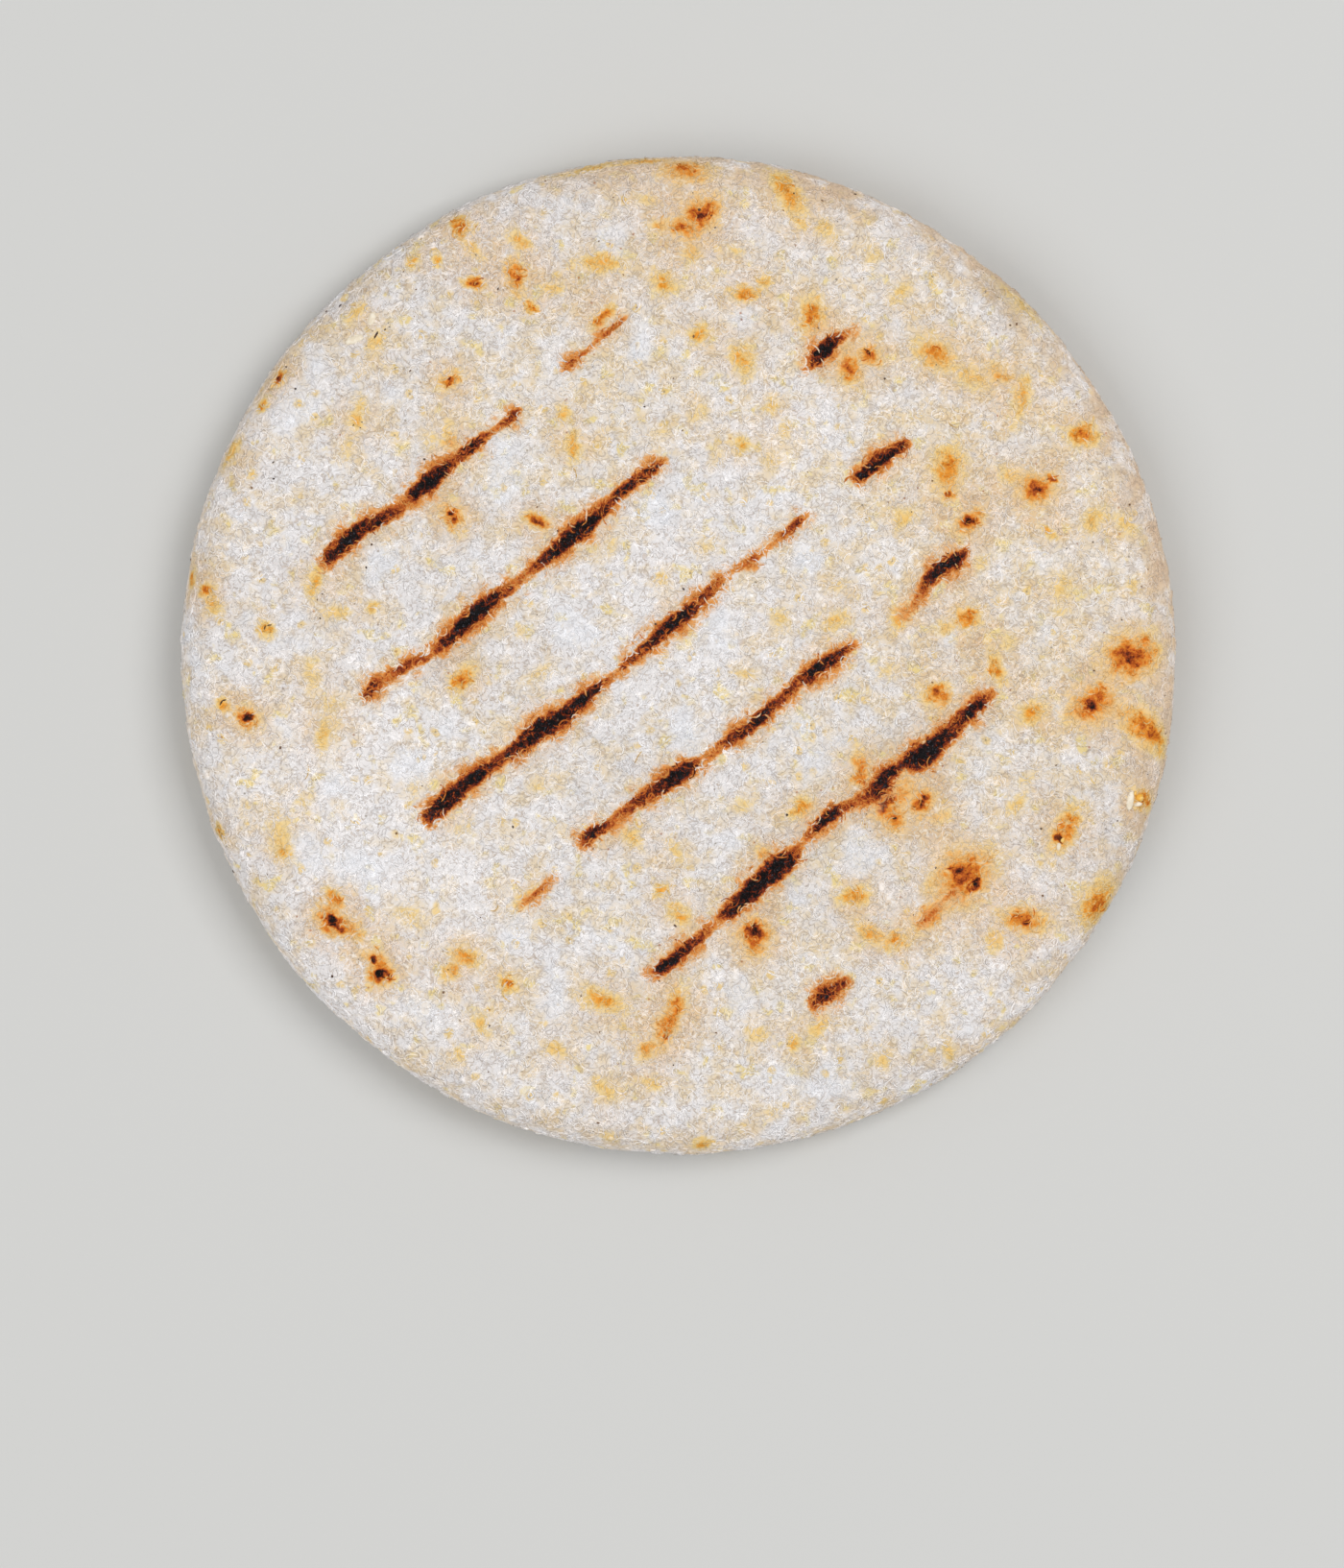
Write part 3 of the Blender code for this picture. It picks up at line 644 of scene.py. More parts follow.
def edge_way(rounding, height):
    """The edge from a face to the widest place: shares of the rounding, and the way along it."""
    angle = np.linspace(0.0, math.pi / 2, EDGE_SAMPLES)
    outward = np.sin(angle) ** (2.0 / EDGE_SQUARENESS)
    upward = np.cos(angle) ** (2.0 / EDGE_SQUARENESS)
    steps = np.hypot(np.diff(outward) * rounding, np.diff(upward) * height)
    return angle / (math.pi / 2), outward, np.concatenate([[0.0], np.cumsum(steps)])


def unrolled_marks(marks, rounding, height):
    """The blotches, with those over the edge moved out to where it would lie if laid flat."""
    _, outward, way = edge_way(rounding, height)
    moved = []
    for x, y, *rest in marks:
        radius, turn = math.hypot(x, y), math.atan2(y, x)
        border = outline(np.array([turn]))[0] - rounding
        if radius > border:
            out = min((radius - border) / rounding, 1.0)
            radius = border + np.interp(out, outward, way)
        moved.append((radius * math.cos(turn), radius * math.sin(turn), *rest))
    return moved


def band(upper, lower, count):
    """Triangles between two rows of the same number of points, facing out."""
    step = np.arange(count)
    after = (step + 1) % count
    return np.concatenate([
        np.stack([upper + step, lower + step, lower + after], axis=1),
        np.stack([upper + step, lower + after, upper + after], axis=1),
    ])


def halving_band(upper, lower, count):
    """Triangles from a row of points down to a row of half as many."""
    step = np.arange(count // 2)
    after = (step + 1) % (count // 2)
    left, middle = upper + 2 * step, upper + 2 * step + 1
    right = upper + (2 * step + 2) % count
    return np.concatenate([
        np.stack([left, lower + step, middle], axis=1),
        np.stack([middle, lower + step, lower + after], axis=1),
        np.stack([middle, lower + after, right], axis=1),
    ])


def new_mesh(name, places, faces, fields):
    """A mesh in metres from places in millimetres, with a value at each point for each field."""
    mesh = bpy.data.meshes.new(name)
    sides = faces.shape[1]
    mesh.vertices.add(len(places))
    mesh.vertices.foreach_set("co", (places * MM).astype(np.float32).ravel())
    mesh.loops.add(faces.size)
    mesh.loops.foreach_set("vertex_index", faces.astype(np.int32).ravel())
    mesh.polygons.add(len(faces))
    mesh.polygons.foreach_set("loop_start", np.arange(0, faces.size, sides, dtype=np.int32))
    mesh.update(calc_edges=True)
    for field, values in fields.items():
        attribute = mesh.attributes.new(field, "FLOAT", "POINT")
        attribute.data.foreach_set("value", np.asarray(values, dtype=np.float32))
    mesh.shade_smooth()
    return mesh


def add_object(name, data):
    made = bpy.data.objects.new(name, data)
    bpy.context.scene.collection.objects.link(made)
    return made


def add_piece(name, mesh, material):
    mesh.materials.append(material)
    piece = add_object(name, mesh)
    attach(piece, "root")
    return piece


def point_normals(mesh):
    normals = np.empty(3 * len(mesh.vertices), dtype=np.float32)
    mesh.vertices.foreach_get("normal", normals)
    return normals.reshape(-1, 3).astype(float)


class Crust:
    """The whole skin of the cake: points, triangles, normals and what the griddle did there."""

    def __init__(self):
        top, top_faces, top_border = disc(TOP_RINGS, TOP_ROUNDING)
        base, base_faces, base_border = disc(BASE_RINGS, BASE_ROUNDING)
        top_bars = scorch(top, TOP_BAR_ANGLE, TOP_FIRST_BAR, TOP_SCORCH)
        top[:, 2] = top_height(top, groove(top_bars[2], top_bars[1]))
        base_bars = scorch(base, BASE_BAR_ANGLE, BASE_FIRST_BAR, base_scorch())
        base[:, 2] = groove(base_bars[2], base_bars[1])

        count = 6 * TOP_RINGS
        turn = turns(count)
        rows, from_top, from_base = [], [], []
        shares, _, top_way = edge_way(TOP_ROUNDING, THICKNESS - WIDEST_AT)
        _, _, base_way = edge_way(BASE_ROUNDING, WIDEST_AT)
        for row in range(1, EDGE_ROWS_ABOVE + 1):
            share = row / EDGE_ROWS_ABOVE
            rows.append(edge_row(turn, share, TOP_ROUNDING, top[top_border:, 2]))
            from_top.append(np.interp(share, shares, top_way))
            from_base.append(base_way[-1] + top_way[-1] - from_top[-1])
        for row in range(EDGE_ROWS_BELOW - 1, 0, -1):
            share = row / EDGE_ROWS_BELOW
            rows.append(edge_row(turn, share, BASE_ROUNDING, 0.0))
            from_base.append(np.interp(share, shares, base_way))
            from_top.append(top_way[-1] + base_way[-1] - from_base[-1])
        edge = np.concatenate(rows)

        edge_start, base_start = len(top), len(top) + len(edge)
        faces = [top_faces, band(top_border, edge_start, count)]
        for row in range(len(rows) - 1):
            faces.append(band(edge_start + row * count, edge_start + (row + 1) * count, count))
        last_row = edge_start + (len(rows) - 1) * count
        faces.append(halving_band(last_row, base_start + base_border, count))
        faces.append(base_faces[:, ::-1] + base_start)

        self.faces = np.concatenate(faces)
        self.places = np.concatenate([top, edge, base])
        for axis in (0, 1):
            low, high = self.places[:, axis].min(), self.places[:, axis].max()
            self.places[:, axis] -= (low + high) / 2

        below = np.zeros(len(self.places), bool)
        below[base_start:] = True
        border = np.tile(outline(turn), len(rows))
        laid_flat = []
        for rounding, ways in ((TOP_ROUNDING, from_top), (BASE_ROUNDING, from_base)):
            flat = self.places * (1.0, 1.0, 0.0)
            radius = border - rounding + np.repeat(ways, count)
            flat[edge_start:base_start] = on_plan(radius, np.tile(turn, len(rows)))
            laid_flat.append(flat)
        bars = [
            np.concatenate([on_top, np.full(len(edge), elsewhere), on_base])
            for on_top, elsewhere, on_base in zip(top_bars, (FAR, 0.0, FAR, 0.0), base_bars)
        ]
        self.fields = self.griddled(below, bars, *laid_flat)
        self.roughen(below)

    def griddled(self, below, bars, from_top, from_base):
        """The fields of the whole skin; below is true on the underside."""
        marks = unrolled_marks(TOP_BLOTCHES, TOP_ROUNDING, THICKNESS - WIDEST_AT)
        fields = blotches(from_top, marks)
        marks = unrolled_marks(base_blotches(), BASE_ROUNDING, WIDEST_AT)
        under_fields = blotches(from_base, marks)
        bottom = self.places[:, 2] < BASE_UP_TO
        fields = {name: np.where(bottom, under_fields[name], fields[name]) for name in fields}
        x, y, z = self.places.T
        frost = patchwork(self.places, [(*patch, 1.0) for patch in FROST_PATCHES])
        frost += lumps(self.places, FROST_EDGES)
        inset = 1.0 - np.hypot(x, y) / (DIAMETER / 2)
        turned = np.maximum(np.cos(np.arctan2(y, x) - RIM_TAN_TURN), 0.0)
        tanned = RIM_TAN + RIM_TAN_MORE * turned
        side, heat, gap, skirt = bars
        fields["warmth"] += BAR_WARMTH * heat * np.exp(-((gap / BAR_SKIRT) ** 2))
        return {
            **fields,
            "bar_side": side,
            "bar_heat": heat,
            "bar_skirt": skirt,
            "tint": np.where(below, BASE_TINT, patchwork(self.places, TINTS)),
            # Broad darkening of the top; at the upper right rim it is painted shade
            "dusk": np.where(below, BASE_DUSK, patchwork(self.places, DUSKY)),
            "frost": smooth_step((frost - FROST_FROM) / FROST_RANGE),
            "rim": np.where(below, 0.0, tanned * smooth_step(1.0 - inset / RIM_SHARE)),
            # Painted light: how much the top's edge is lightened against the shade of its rounding
            "edge": np.where(below, 0.0, smooth_step(1.0 - inset / PAINTED_LIGHT_EDGE_SHARE)),
            "under": np.where(below, 1.0, smooth_step(1.0 - z / UNDER_HEIGHT)),
        }

    def roughen(self, below):
        """Adds the crumb's own relief, which on the underside only cuts in."""
        mesh = new_mesh("rough", self.places, self.faces, {})
        normals = point_normals(mesh)
        bpy.data.meshes.remove(mesh)
        relief = lumps(self.places, CRUMB)
        for size, height, mean, shift in DOUGH_GRAINS:
            relief += height * (grains(self.places, size, shift) - mean)
        relief = np.where(below, -BASE_CRUMB * np.abs(relief), relief)
        self.places = self.places + normals * relief[:, None]
        self.places[:, 2] = np.maximum(self.places[:, 2], 0.0)

    def piece(self, material):
        mesh = new_mesh("crust", self.places, self.faces, self.fields)
        self.normals = point_normals(mesh)
        return add_piece("crust", mesh, material)

    def under(self, marks):
        """The crust's own spots and fields right below these places of the top, with normals
        straight up.
        """
        spots = np.array([mark[:2] for mark in marks], dtype=float)
        away = self.places[None, :, :2] - spots[:, None, :]
        away = np.hypot(away[:, :, 0], away[:, :, 1]) + FAR * (self.places[:, 2] < TOP_FROM)
        chosen = np.argmin(away, axis=1)
        places = np.column_stack([spots, self.places[chosen, 2]])
        fields = {name: values[chosen] for name, values in self.fields.items()}
        return places, np.tile((0.0, 0.0, 1.0), (len(marks), 1)), fields

    def pick(self, draw, count, liking):
        """Random spots on the crust, more of them where the liking of its points is higher."""
        corners = self.places[self.faces]
        across = np.cross(corners[:, 1] - corners[:, 0], corners[:, 2] - corners[:, 0])
        weight = np.linalg.norm(across, axis=1) * liking[self.faces].mean(axis=1)
        faces = self.faces[draw.choice(len(self.faces), count, p=weight / weight.sum())]
        share = draw.dirichlet((1.0, 1.0, 1.0), count)

        def between(values):
            chosen = values[faces]
            return np.einsum("ij,ij...->i...", share, chosen)

        normals = between(self.normals)
        normals /= np.linalg.norm(normals, axis=1)[:, None]
        fields = {name: between(values) for name, values in self.fields.items()}
        return between(self.places), normals, fields


# Threads, grits and specks


def scatter(
    name, draw, shapes, template, picked, material, sunk=0.0, tones=None, turned=True, flank=None
):
    """One piece of many small bodies: shapes holds the points of each, template their faces."""
    count, points = shapes.shape[:2]
    spots, normals, fields = picked
    aside = draw.normal(size=(count, 3)) if turned else np.tile((1.0, 0.0, 0.0), (count, 1))
    aside -= normals * np.sum(aside * normals, axis=1)[:, None]
    aside /= np.linalg.norm(aside, axis=1)[:, None]
    other = np.cross(normals, aside)
    places = spots[:, None, :] + shapes[:, :, 0:1] * aside[:, None, :]
    places = places + shapes[:, :, 1:2] * other[:, None, :]
    places = places + (shapes[:, :, 2:3] - sunk) * normals[:, None, :]
    places[:, :, 2] = np.maximum(places[:, :, 2], 0.0)
    faces = template[None] + points * np.arange(count)[:, None, None]
    faces = faces.reshape(-1, template.shape[1])
    values = {field: np.repeat(value, points) for field, value in fields.items()}
    values["tone"] = np.repeat(draw.random(count) if tones is None else tones, points)
    values["hue"] = np.repeat(draw.random(count), points)
    values["flank"] = np.tile(np.zeros(points) if flank is None else flank, count)
    add_piece(name, new_mesh(name, places.reshape(-1, 3), faces, values), material)


# A thread's steps along its length, how crooked it is and how deep its flanks end. Its width and
# its ridge swell from the ends to the middle.
CURL_STEPS = 7
CROOKEDNESS = 0.03
ROOT_DEPTH = 0.06
TIP_WIDTH = 0.30
RIDGE_SLOPE, RIDGE_SWELL, RIDGE_SUNK = 1.15, 0.45, 0.35


def curl_shapes(draw, count, length, turn, half_width):
    """Crooked threads that lie down: a ridge with two flanks that run into the crust."""
    length = draw.uniform(*length, count)
    bend = np.radians(draw.uniform(*turn, count)) * draw.choice((-1.0, 1.0), count)
    width = draw.uniform(*half_width, count)[:, None]
    along = np.linspace(-0.5, 0.5, CURL_STEPS + 1)
    heading = bend[:, None] * along
    radius = (length / bend)[:, None]
    x = radius * np.sin(heading) + draw.normal(0.0, CROOKEDNESS, heading.shape)
    y = radius * (1.0 - np.cos(heading)) + draw.normal(0.0, CROOKEDNESS, heading.shape)
    y = y - y.mean(axis=1)[:, None]
    slim = TIP_WIDTH + (1.0 - TIP_WIDTH) * np.sqrt(np.clip(1.0 - (2.0 * along) ** 4, 0.0, 1.0))
    swell = RIDGE_SWELL * (1.0 - (2.0 * along) ** 2)
    rise = width * (RIDGE_SLOPE * slim + swell - RIDGE_SUNK)
    rows = []
    for out, up in ((-1.0, -ROOT_DEPTH), (0.0, rise), (1.0, -ROOT_DEPTH)):
        out = out * width * slim
        row = (x - out * np.sin(heading), y + out * np.cos(heading), np.zeros(x.shape) + up)
        rows.append(np.stack(row, axis=2))
    return np.stack(rows, axis=2).reshape(count, -1, 3)


# Each thread's points are left, ridge and right: its flanks are 1 and its ridge is 0
CURL_FLANK = np.tile((1.0, 0.0, 1.0), CURL_STEPS + 1)
CURL_FACES = np.array([
    face
    for near in range(3 * CURL_STEPS) if near % 3 < 2
    for face in ((near, near + 3, near + 1), (near + 1, near + 3, near + 4))
])


def placed_shapes(shapes, marks):
    """The shapes, scaled by each mark's half sizes and turned as it says."""
    _, _, long, short, turn = np.array(marks, dtype=float).T[:, :, None]
    turn = np.radians(turn)
    x, y, z = long * shapes[:, :, 0], short * shapes[:, :, 1], short * shapes[:, :, 2]
    turned = x * np.cos(turn) - y * np.sin(turn), x * np.sin(turn) + y * np.cos(turn), z
    return np.stack(turned, axis=2)


def ball(level):
    """The points and triangles of a ball of radius 1."""
    mesh = bmesh.new()
    bmesh.ops.create_icosphere(mesh, subdivisions=level, radius=1.0)
    points = np.array([vertex.co[:] for vertex in mesh.verts])
    faces = np.array([[vertex.index for vertex in face.verts] for face in mesh.faces])
    mesh.free()
    return points, faces


# How long and how wide grains are, in their own sizes
GRAIN_LENGTHS = (0.8, 1.35)
GRAIN_WIDTHS = (0.65, 1.0)


def grain_sizes(draw, count, smallest, spread, rarity):
    """Half sizes from the smallest up: the larger a grain is, the rarer."""
    return smallest + spread * draw.random(count) ** rarity


def grit_shapes(draw, points, sizes, flat, knobs):
    """Lumpy grains of these half sizes, flattened by some share and no two alike."""
    count = len(sizes)
    sides = (GRAIN_LENGTHS, GRAIN_WIDTHS, flat)
    stretch = np.stack([draw.uniform(*side, count) for side in sides], axis=1)
    lumpy = 1.0 + knobs * draw.normal(size=(count, len(points)))
    return points[None] * lumpy[:, :, None] * (stretch * sizes[:, None])[:, None, :]


# Colours, as they look on a display


def linear(red, green, blue):
    """A display colour from 0 to 255 as the linear colour that a shader takes."""
    shares = [value / 255.0 for value in (red, green, blue)]
    return tuple(
        share / 12.92 if share <= 0.04045 else ((share + 0.055) / 1.055) ** 2.4 for share in shares
    ) + (1.0,)


WHITE_DOUGH = (228, 224, 223)
CREAM_DOUGH = (226, 205, 169)
WARM_DOUGH = (216, 180, 138)
LEMON_DOUGH = (230, 208, 142)
FROST = (232, 232, 236)
# The gaps' colours are painted shade, between the threads and grains
GREY_GAP_SHADE = (172, 156, 143)
GOLDEN_GAP_SHADE = (180, 154, 126)
THREAD = (244, 241, 241)
CREAM_THREAD = (241, 223, 195)
FROST_THREAD = (243, 245, 250)
WARM_THREAD = (230, 196, 156)
LEMON_THREAD = (246, 227, 168)
GREY_PORE = (138, 124, 104)
RUSTY_PORE = (170, 96, 48)
GOLDEN_GRIT = (234, 200, 122)
TANNED = (214, 188, 162)
# Painted glint: the sheen of the char, as bluish grey flecks
PAINTED_CHAR_GLINT = (104, 102, 112)
BRAN = (62, 42, 32)
LIGHT_BRAN = (134, 98, 66)
DARK_BRAN = (32, 24, 22)
CHIP_COLOURS = ((242, 232, 212), (228, 214, 190))
GOLDEN_CHIP_COLOURS = ((236, 172, 60), (244, 206, 122))
TICK_COLOURS = ((44, 28, 20), (74, 46, 30))
FIBRE_COLOURS = ((198, 158, 84), (214, 182, 116))
FLOOR_GREY = (206, 206, 204)

# The colours of a scorch line, of a toasted blotch in pale crust, and of one where all the crust
# is warm, each from barely heated on
SCORCH_COLOURS = (
    (0.00, (226, 200, 170)), (0.08, (227, 176, 119)), (0.18, (218, 142, 67)),
    (0.31, (188, 96, 34)), (0.45, (138, 54, 22)), (0.58, (90, 30, 14)),
    (0.73, (38, 13, 9)), (0.90, (7, 5, 6)),
)
PATCH_COLOURS = (
    (0.00, (230, 211, 174)), (0.18, (234, 206, 148)), (0.32, (232, 190, 112)),
    (0.46, (234, 158, 48)), (0.58, (212, 122, 32)), (0.70, (160, 76, 26)),
)
TOAST_COLOURS = (
    (0.00, (228, 204, 170)), (0.18, (230, 194, 140)), (0.32, (229, 174, 102)),
    (0.45, (224, 140, 48)), (0.57, (200, 102, 30)), (0.68, (148, 62, 22)),
    (0.80, (84, 32, 14)), (0.92, (18, 9, 8)),
)

# Two layers of thin lines each: how many per millimetre, how wide and how far shifted, then the
# noise that leaves them out: how many per millimetre, from where to where, and how far shifted
THREAD_LAYERS = (
    ((1.15, 0.050, None), (0.9, (0.36, 0.48), None)),
    ((1.9, 0.060, (7.0, 3.0, 1.0)), (1.2, (0.38, 0.52), (0.0, 9.0, 4.0))),
)
CREASE_LAYERS = (
    ((1.5, 0.060, (4.0, 14.0, 6.0)), (0.9, (0.40, 0.52), (8.0, 2.0, 9.0))),
    ((0.9, 0.036, (9.0, 1.0, 13.0)), (0.7, (0.42, 0.56), (5.0, 8.0, 1.0))),
)

# Where the steps of an even noise begin and end
NOISE_RANGE = (0.3, 0.7)

# Cells that may each hold a golden grit or a pore
CELLS_PER_MM = 0.62


class Value:
    """A number or colour that a material's nodes work out, with the usual signs of arithmetic."""

    def __init__(self, net, socket):
        self.net = net
        self.socket = socket

    def __add__(self, other):
        return self.net.maths("ADD", self, other)

    def __sub__(self, other):
        return self.net.maths("SUBTRACT", self, other)

    def __rsub__(self, other):
        return self.net.maths("SUBTRACT", other, self)

    def __mul__(self, other):
        return self.net.maths("MULTIPLY", self, other)

    def __pow__(self, other):
        return self.net.maths("POWER", self, other)

    def __abs__(self):
        return self.net.maths("ABSOLUTE", self)


class Net:
    """The nodes of one material, with a short call for each kind that is used."""

    def __init__(self, name):
        self.material = bpy.data.materials.new(name)
        self.material.use_nodes = True
        self.nodes = self.material.node_tree.nodes
        self.place = self.vector("SCALE", self.add("TexCoord", "Object", {}), 1.0 / MM)

    def set(self, socket, value):
        if isinstance(value, Value):
            self.material.node_tree.links.new(value.socket, socket)
        elif isinstance(value, tuple) and socket.type == "RGBA":
            socket.default_value = linear(*value)
        else:
            socket.default_value = value

    def add(self, kind, outputs, inputs, **settings):
        """The output of a new node, or all those that are named."""
        node = self.nodes.new("ShaderNode" + kind)
        for key, value in settings.items():
            setattr(node, key, value)
        for key, value in inputs.items():
            self.set(node.inputs[key], value)
        if isinstance(outputs, tuple):
            return [Value(self, node.outputs[output]) for output in outputs]
        return Value(self, node.outputs[outputs])

    def vector(self, operation, first, second):
        inputs = {0: first, "Scale" if operation == "SCALE" else 1: second}
        return self.add("VectorMath", 0, inputs, operation=operation)

    def maths(self, operation, first, second=0.0, clamp=False):
        return self.add("Math", 0, {0: first, 1: second}, operation=operation, use_clamp=clamp)

    def higher(self, first, second):
        return self.maths("MAXIMUM", first, second)

    def falling(self, distance, power, rate):
        """Falls from 1 as the distance grows: the higher the power, the steeper the side."""
        return self.maths("EXPONENT", distance**power * -rate)

    def step(self, value, low, high, bottom=0.0, top=1.0):
        """Runs smoothly from bottom to top as the value goes from low to high."""
        inputs = {0: value, 1: low, 2: high, 3: bottom, 4: top}
        return self.add("MapRange", 0, inputs, interpolation_type="SMOOTHSTEP", clamp=True)

    def mix(self, share, first, second):
        inputs = {0: share, 6: first, 7: second}
        return self.add("Mix", 2, inputs, data_type="RGBA", clamp_factor=True)

    def coats(self, colour, *layers):
        """The colour, covered in turn by each layer: (share, colour)."""
        for share, cover in layers:
            colour = self.mix(share, colour, cover)
        return colour

    def shade(self, colour, share):
        return self.vector("SCALE", colour, share)

    def ramp(self, value, stops):
        ramp = self.add("ValToRGB", 0, {0: value})
        elements = ramp.socket.node.color_ramp.elements
        while len(elements) < len(stops):
            elements.new(1.0)
        for element, (position, colour) in zip(elements, stops):
            element.position = position
            element.color = linear(*colour)
        return ramp

    def field(self, name):
        return self.add("Attribute", "Fac", {}, attribute_name=name)

    def noise(self, per_mm, detail=1.0, shift=None, place=None, output="Fac"):
        place = place or self.place
        if shift:
            place = self.vector("ADD", place, shift)
        inputs = {"Vector": place, "Scale": per_mm, "Detail": detail, "Roughness": 0.55}
        return self.add("TexNoise", output, inputs)

    def patchy(self, per_mm, detail, levels, shift=None, place=None):
        return self.step(self.noise(per_mm, detail, shift, place), *levels)

    def bent(self, per_mm, reach):
        """The place, strayed by a noise, so that what is drawn there is crooked."""
        stray = self.vector("SUBTRACT", self.noise(per_mm, output="Color"), (0.5,) * 3)
        return self.vector("ADD", self.place, self.vector("SCALE", stray, reach))

    def crossings(self, place, per_mm, width, shift):
        """Thin crooked threads: where a smooth noise passes through its middle."""
        return self.step(abs(self.noise(per_mm, 0.0, shift, place) - 0.5), width, 0.3 * width)

    def lines(self, place, layers):
        """Layers of thin threads, each with stretches where it is left out."""
        return self.higher(*(
            self.crossings(place, *drawn) * self.patchy(per_mm, 1.0, levels, shift)
            for drawn, (per_mm, levels, shift) in layers
        ))

    def cells(self, place, per_mm):
        """The distance from the middle of the nearest cell, and that cell's own random number."""
        inputs = {"Vector": place, "Scale": per_mm}
        distance, colour = self.add("TexVoronoi", ("Distance", "Color"), inputs)
        return distance, self.add("SeparateColor", 0, {0: colour})

    def finish(self, colour, roughness, specular=0.5, bumps=None):
        inputs = self.nodes["Principled BSDF"].inputs
        self.set(inputs["Base Color"], colour)
        self.set(inputs["Roughness"], roughness)
        self.set(inputs["Specular IOR Level"], specular)
        if bumps:
            self.set(inputs["Normal"], bumps)
        return self.material


class CrustNet(Net):
    """The crust's material: dough, threads and gaps, then what the griddle did to them.

    Loose bits have their own tone and hue. They stand clear of the griddle, so they brown less.
    """

    def __init__(self, name, loose):
        super().__init__(name)
        self.loose = loose
        self.crooked = self.bent(0.9, 0.7)
        self.fine = self.noise(4.2, 2.0)
        self.threads = self.lines(self.crooked, THREAD_LAYERS)
        self.creases = self.lines(self.crooked, CREASE_LAYERS)
        self.gaps = self.patchy(1.3, 1.0, (0.42, 0.28), (2.0, 5.0, 8.0), self.crooked)
        self.warmth = self.step(self.field("warmth"), 0.0, 0.85)
        self.frost = self.field("frost") * self.step(self.fine, 0.30, 0.60, 0.55, 1.0)
        self.lemon = self.patchy(0.40, 2.0, (0.585, 0.70), (3.0, 11.0, 40.0), self.crooked)
        self.creamy, self.peachy = self.creaminess()

    def flicker(self, low, high):
        return self.step(self.fine, *NOISE_RANGE, low, high)

    def creaminess(self):
        """How creamy the dough is, from 0 to 1, and how peachy where it is more than that."""
        creamy = self.patchy(0.30, 3.0, (0.41, 0.64, 0.0, 0.76), (20.0, 0.0, 3.0))
        creamy += self.field("tint") * 0.38
        creamy += self.field("rim") * self.patchy(0.22, 2.0, (0.48, 0.64)) * 0.6
        creamy += (self.noise(0.60, 2.0, (12.0, 4.0, 30.0), self.crooked) - 0.5) * 1.1
        creamy += self.warmth * 0.5
        peachy = self.step(creamy, 0.90, 1.55, 0.0, 0.65)
        return self.maths("ADD", creamy, 0.0, clamp=True), peachy

    def dough(self):
        """The crust's colour with painted shade in its gaps and creases, and the shares of heat
        that mark it while raw and browned.
        """
        gap_shade_colour = self.mix(self.patchy(0.7, 2.0, (0.45, 0.60)), GREY_GAP_SHADE, GOLDEN_GAP_SHADE)
        thread = self.mix(self.creamy * 0.7, THREAD, CREAM_THREAD)
        distance, chance = self.cells(self.crooked, CELLS_PER_MM)
        golden = self.step(chance, 0.86, 0.90) * self.step(distance, 0.50, 0.20)
        golden *= self.step(self.threads, 1.0, 0.0, 0.5, 1.0)
        dough = self.coats(
            WHITE_DOUGH,
            (self.creamy, CREAM_DOUGH),
            (self.peachy, WARM_DOUGH),
            (self.warmth * self.flicker(0.4, 0.9), WARM_DOUGH),
            (self.lemon * 0.90, LEMON_DOUGH),
            # Painted shade: the gaps and creases between threads are darkened
            (self.gaps * 0.40, gap_shade_colour),
            (self.creases * 0.48, gap_shade_colour),
            (self.threads * 0.75, thread),
            (self.frost * 0.75, FROST),
            (golden * 0.75, GOLDEN_GRIT),
        )
        raw = self.step(self.threads, 0.0, 1.0, 1.06, 0.64) * (self.creases * 0.2 + 1.0)
        return dough, raw, self.step(self.threads, 0.0, 1.0, 1.04, 0.76)

    def husk(self):
        """The same three values for a loose bit."""
        tone, painted_flank_shade = self.field("tone"), self.step(self.field("flank"), 0.42, 0.92)
        cream = self.creamy * 0.55 + self.step(self.field("hue"), 0.5, 1.0, 0.0, 0.10)
        husk = self.coats(
            THREAD,
            (cream, CREAM_THREAD),
            (self.frost * 0.75, FROST_THREAD),
            (self.lemon * 0.60, LEMON_THREAD),
            (self.warmth * 0.55, WARM_THREAD),
            (self.peachy * 0.60, WARM_THREAD),
        )
        husk = self.shade(husk, self.step(tone, 0.0, 1.0, 0.98, 1.14))
        # Painted shade: each thread's flanks are darker than its ridge, as if shaded beside it
        husk = self.shade(husk, self.step(painted_flank_shade, 0.0, 1.0, 1.0, 0.58))
        raw = self.step(tone, 0.0, 1.0, 1.02, 0.54) + painted_flank_shade * 0.16
        return husk, raw, self.step(tone, 0.0, 1.0, 0.98, 0.64) + painted_flank_shade * 0.14

    def weathered(self, dough):
        """The colour with a tanned rim, pores, painted shade of broad lumps and painted light at
        its edge.
        """
        dough = self.mix(self.field("rim") * (self.creamy * 0.5 + 0.1), dough, TANNED)
        distance, chance = self.cells(self.place, CELLS_PER_MM)
        pore = self.step(distance, 0.115, 0.065) * self.step(chance, 0.45, 0.60)
        pore_colour = self.mix(self.step(self.warmth, 0.05, 0.35), GREY_PORE, RUSTY_PORE)
        dough = self.mix(pore * 0.65, dough, pore_colour)
        # Painted shade and light of broad lumps in the crumb, spread at random
        painted_relief_shade = self.patchy(0.62, 3.0, (0.32, 0.68, 0.935, 1.015), (6.0, 17.0, 2.0))
        # Painted light: the dough is made lighter near the top's edge, against the shade where the
        # rim rounds over
        edge = self.field("edge") * (0.11 if self.loose else 0.20) + 1.0
        # The broad patches darken it here, painted shade among them at the upper right rim
        return self.shade(dough, painted_relief_shade * (1.0 - self.field("dusk")) * edge)

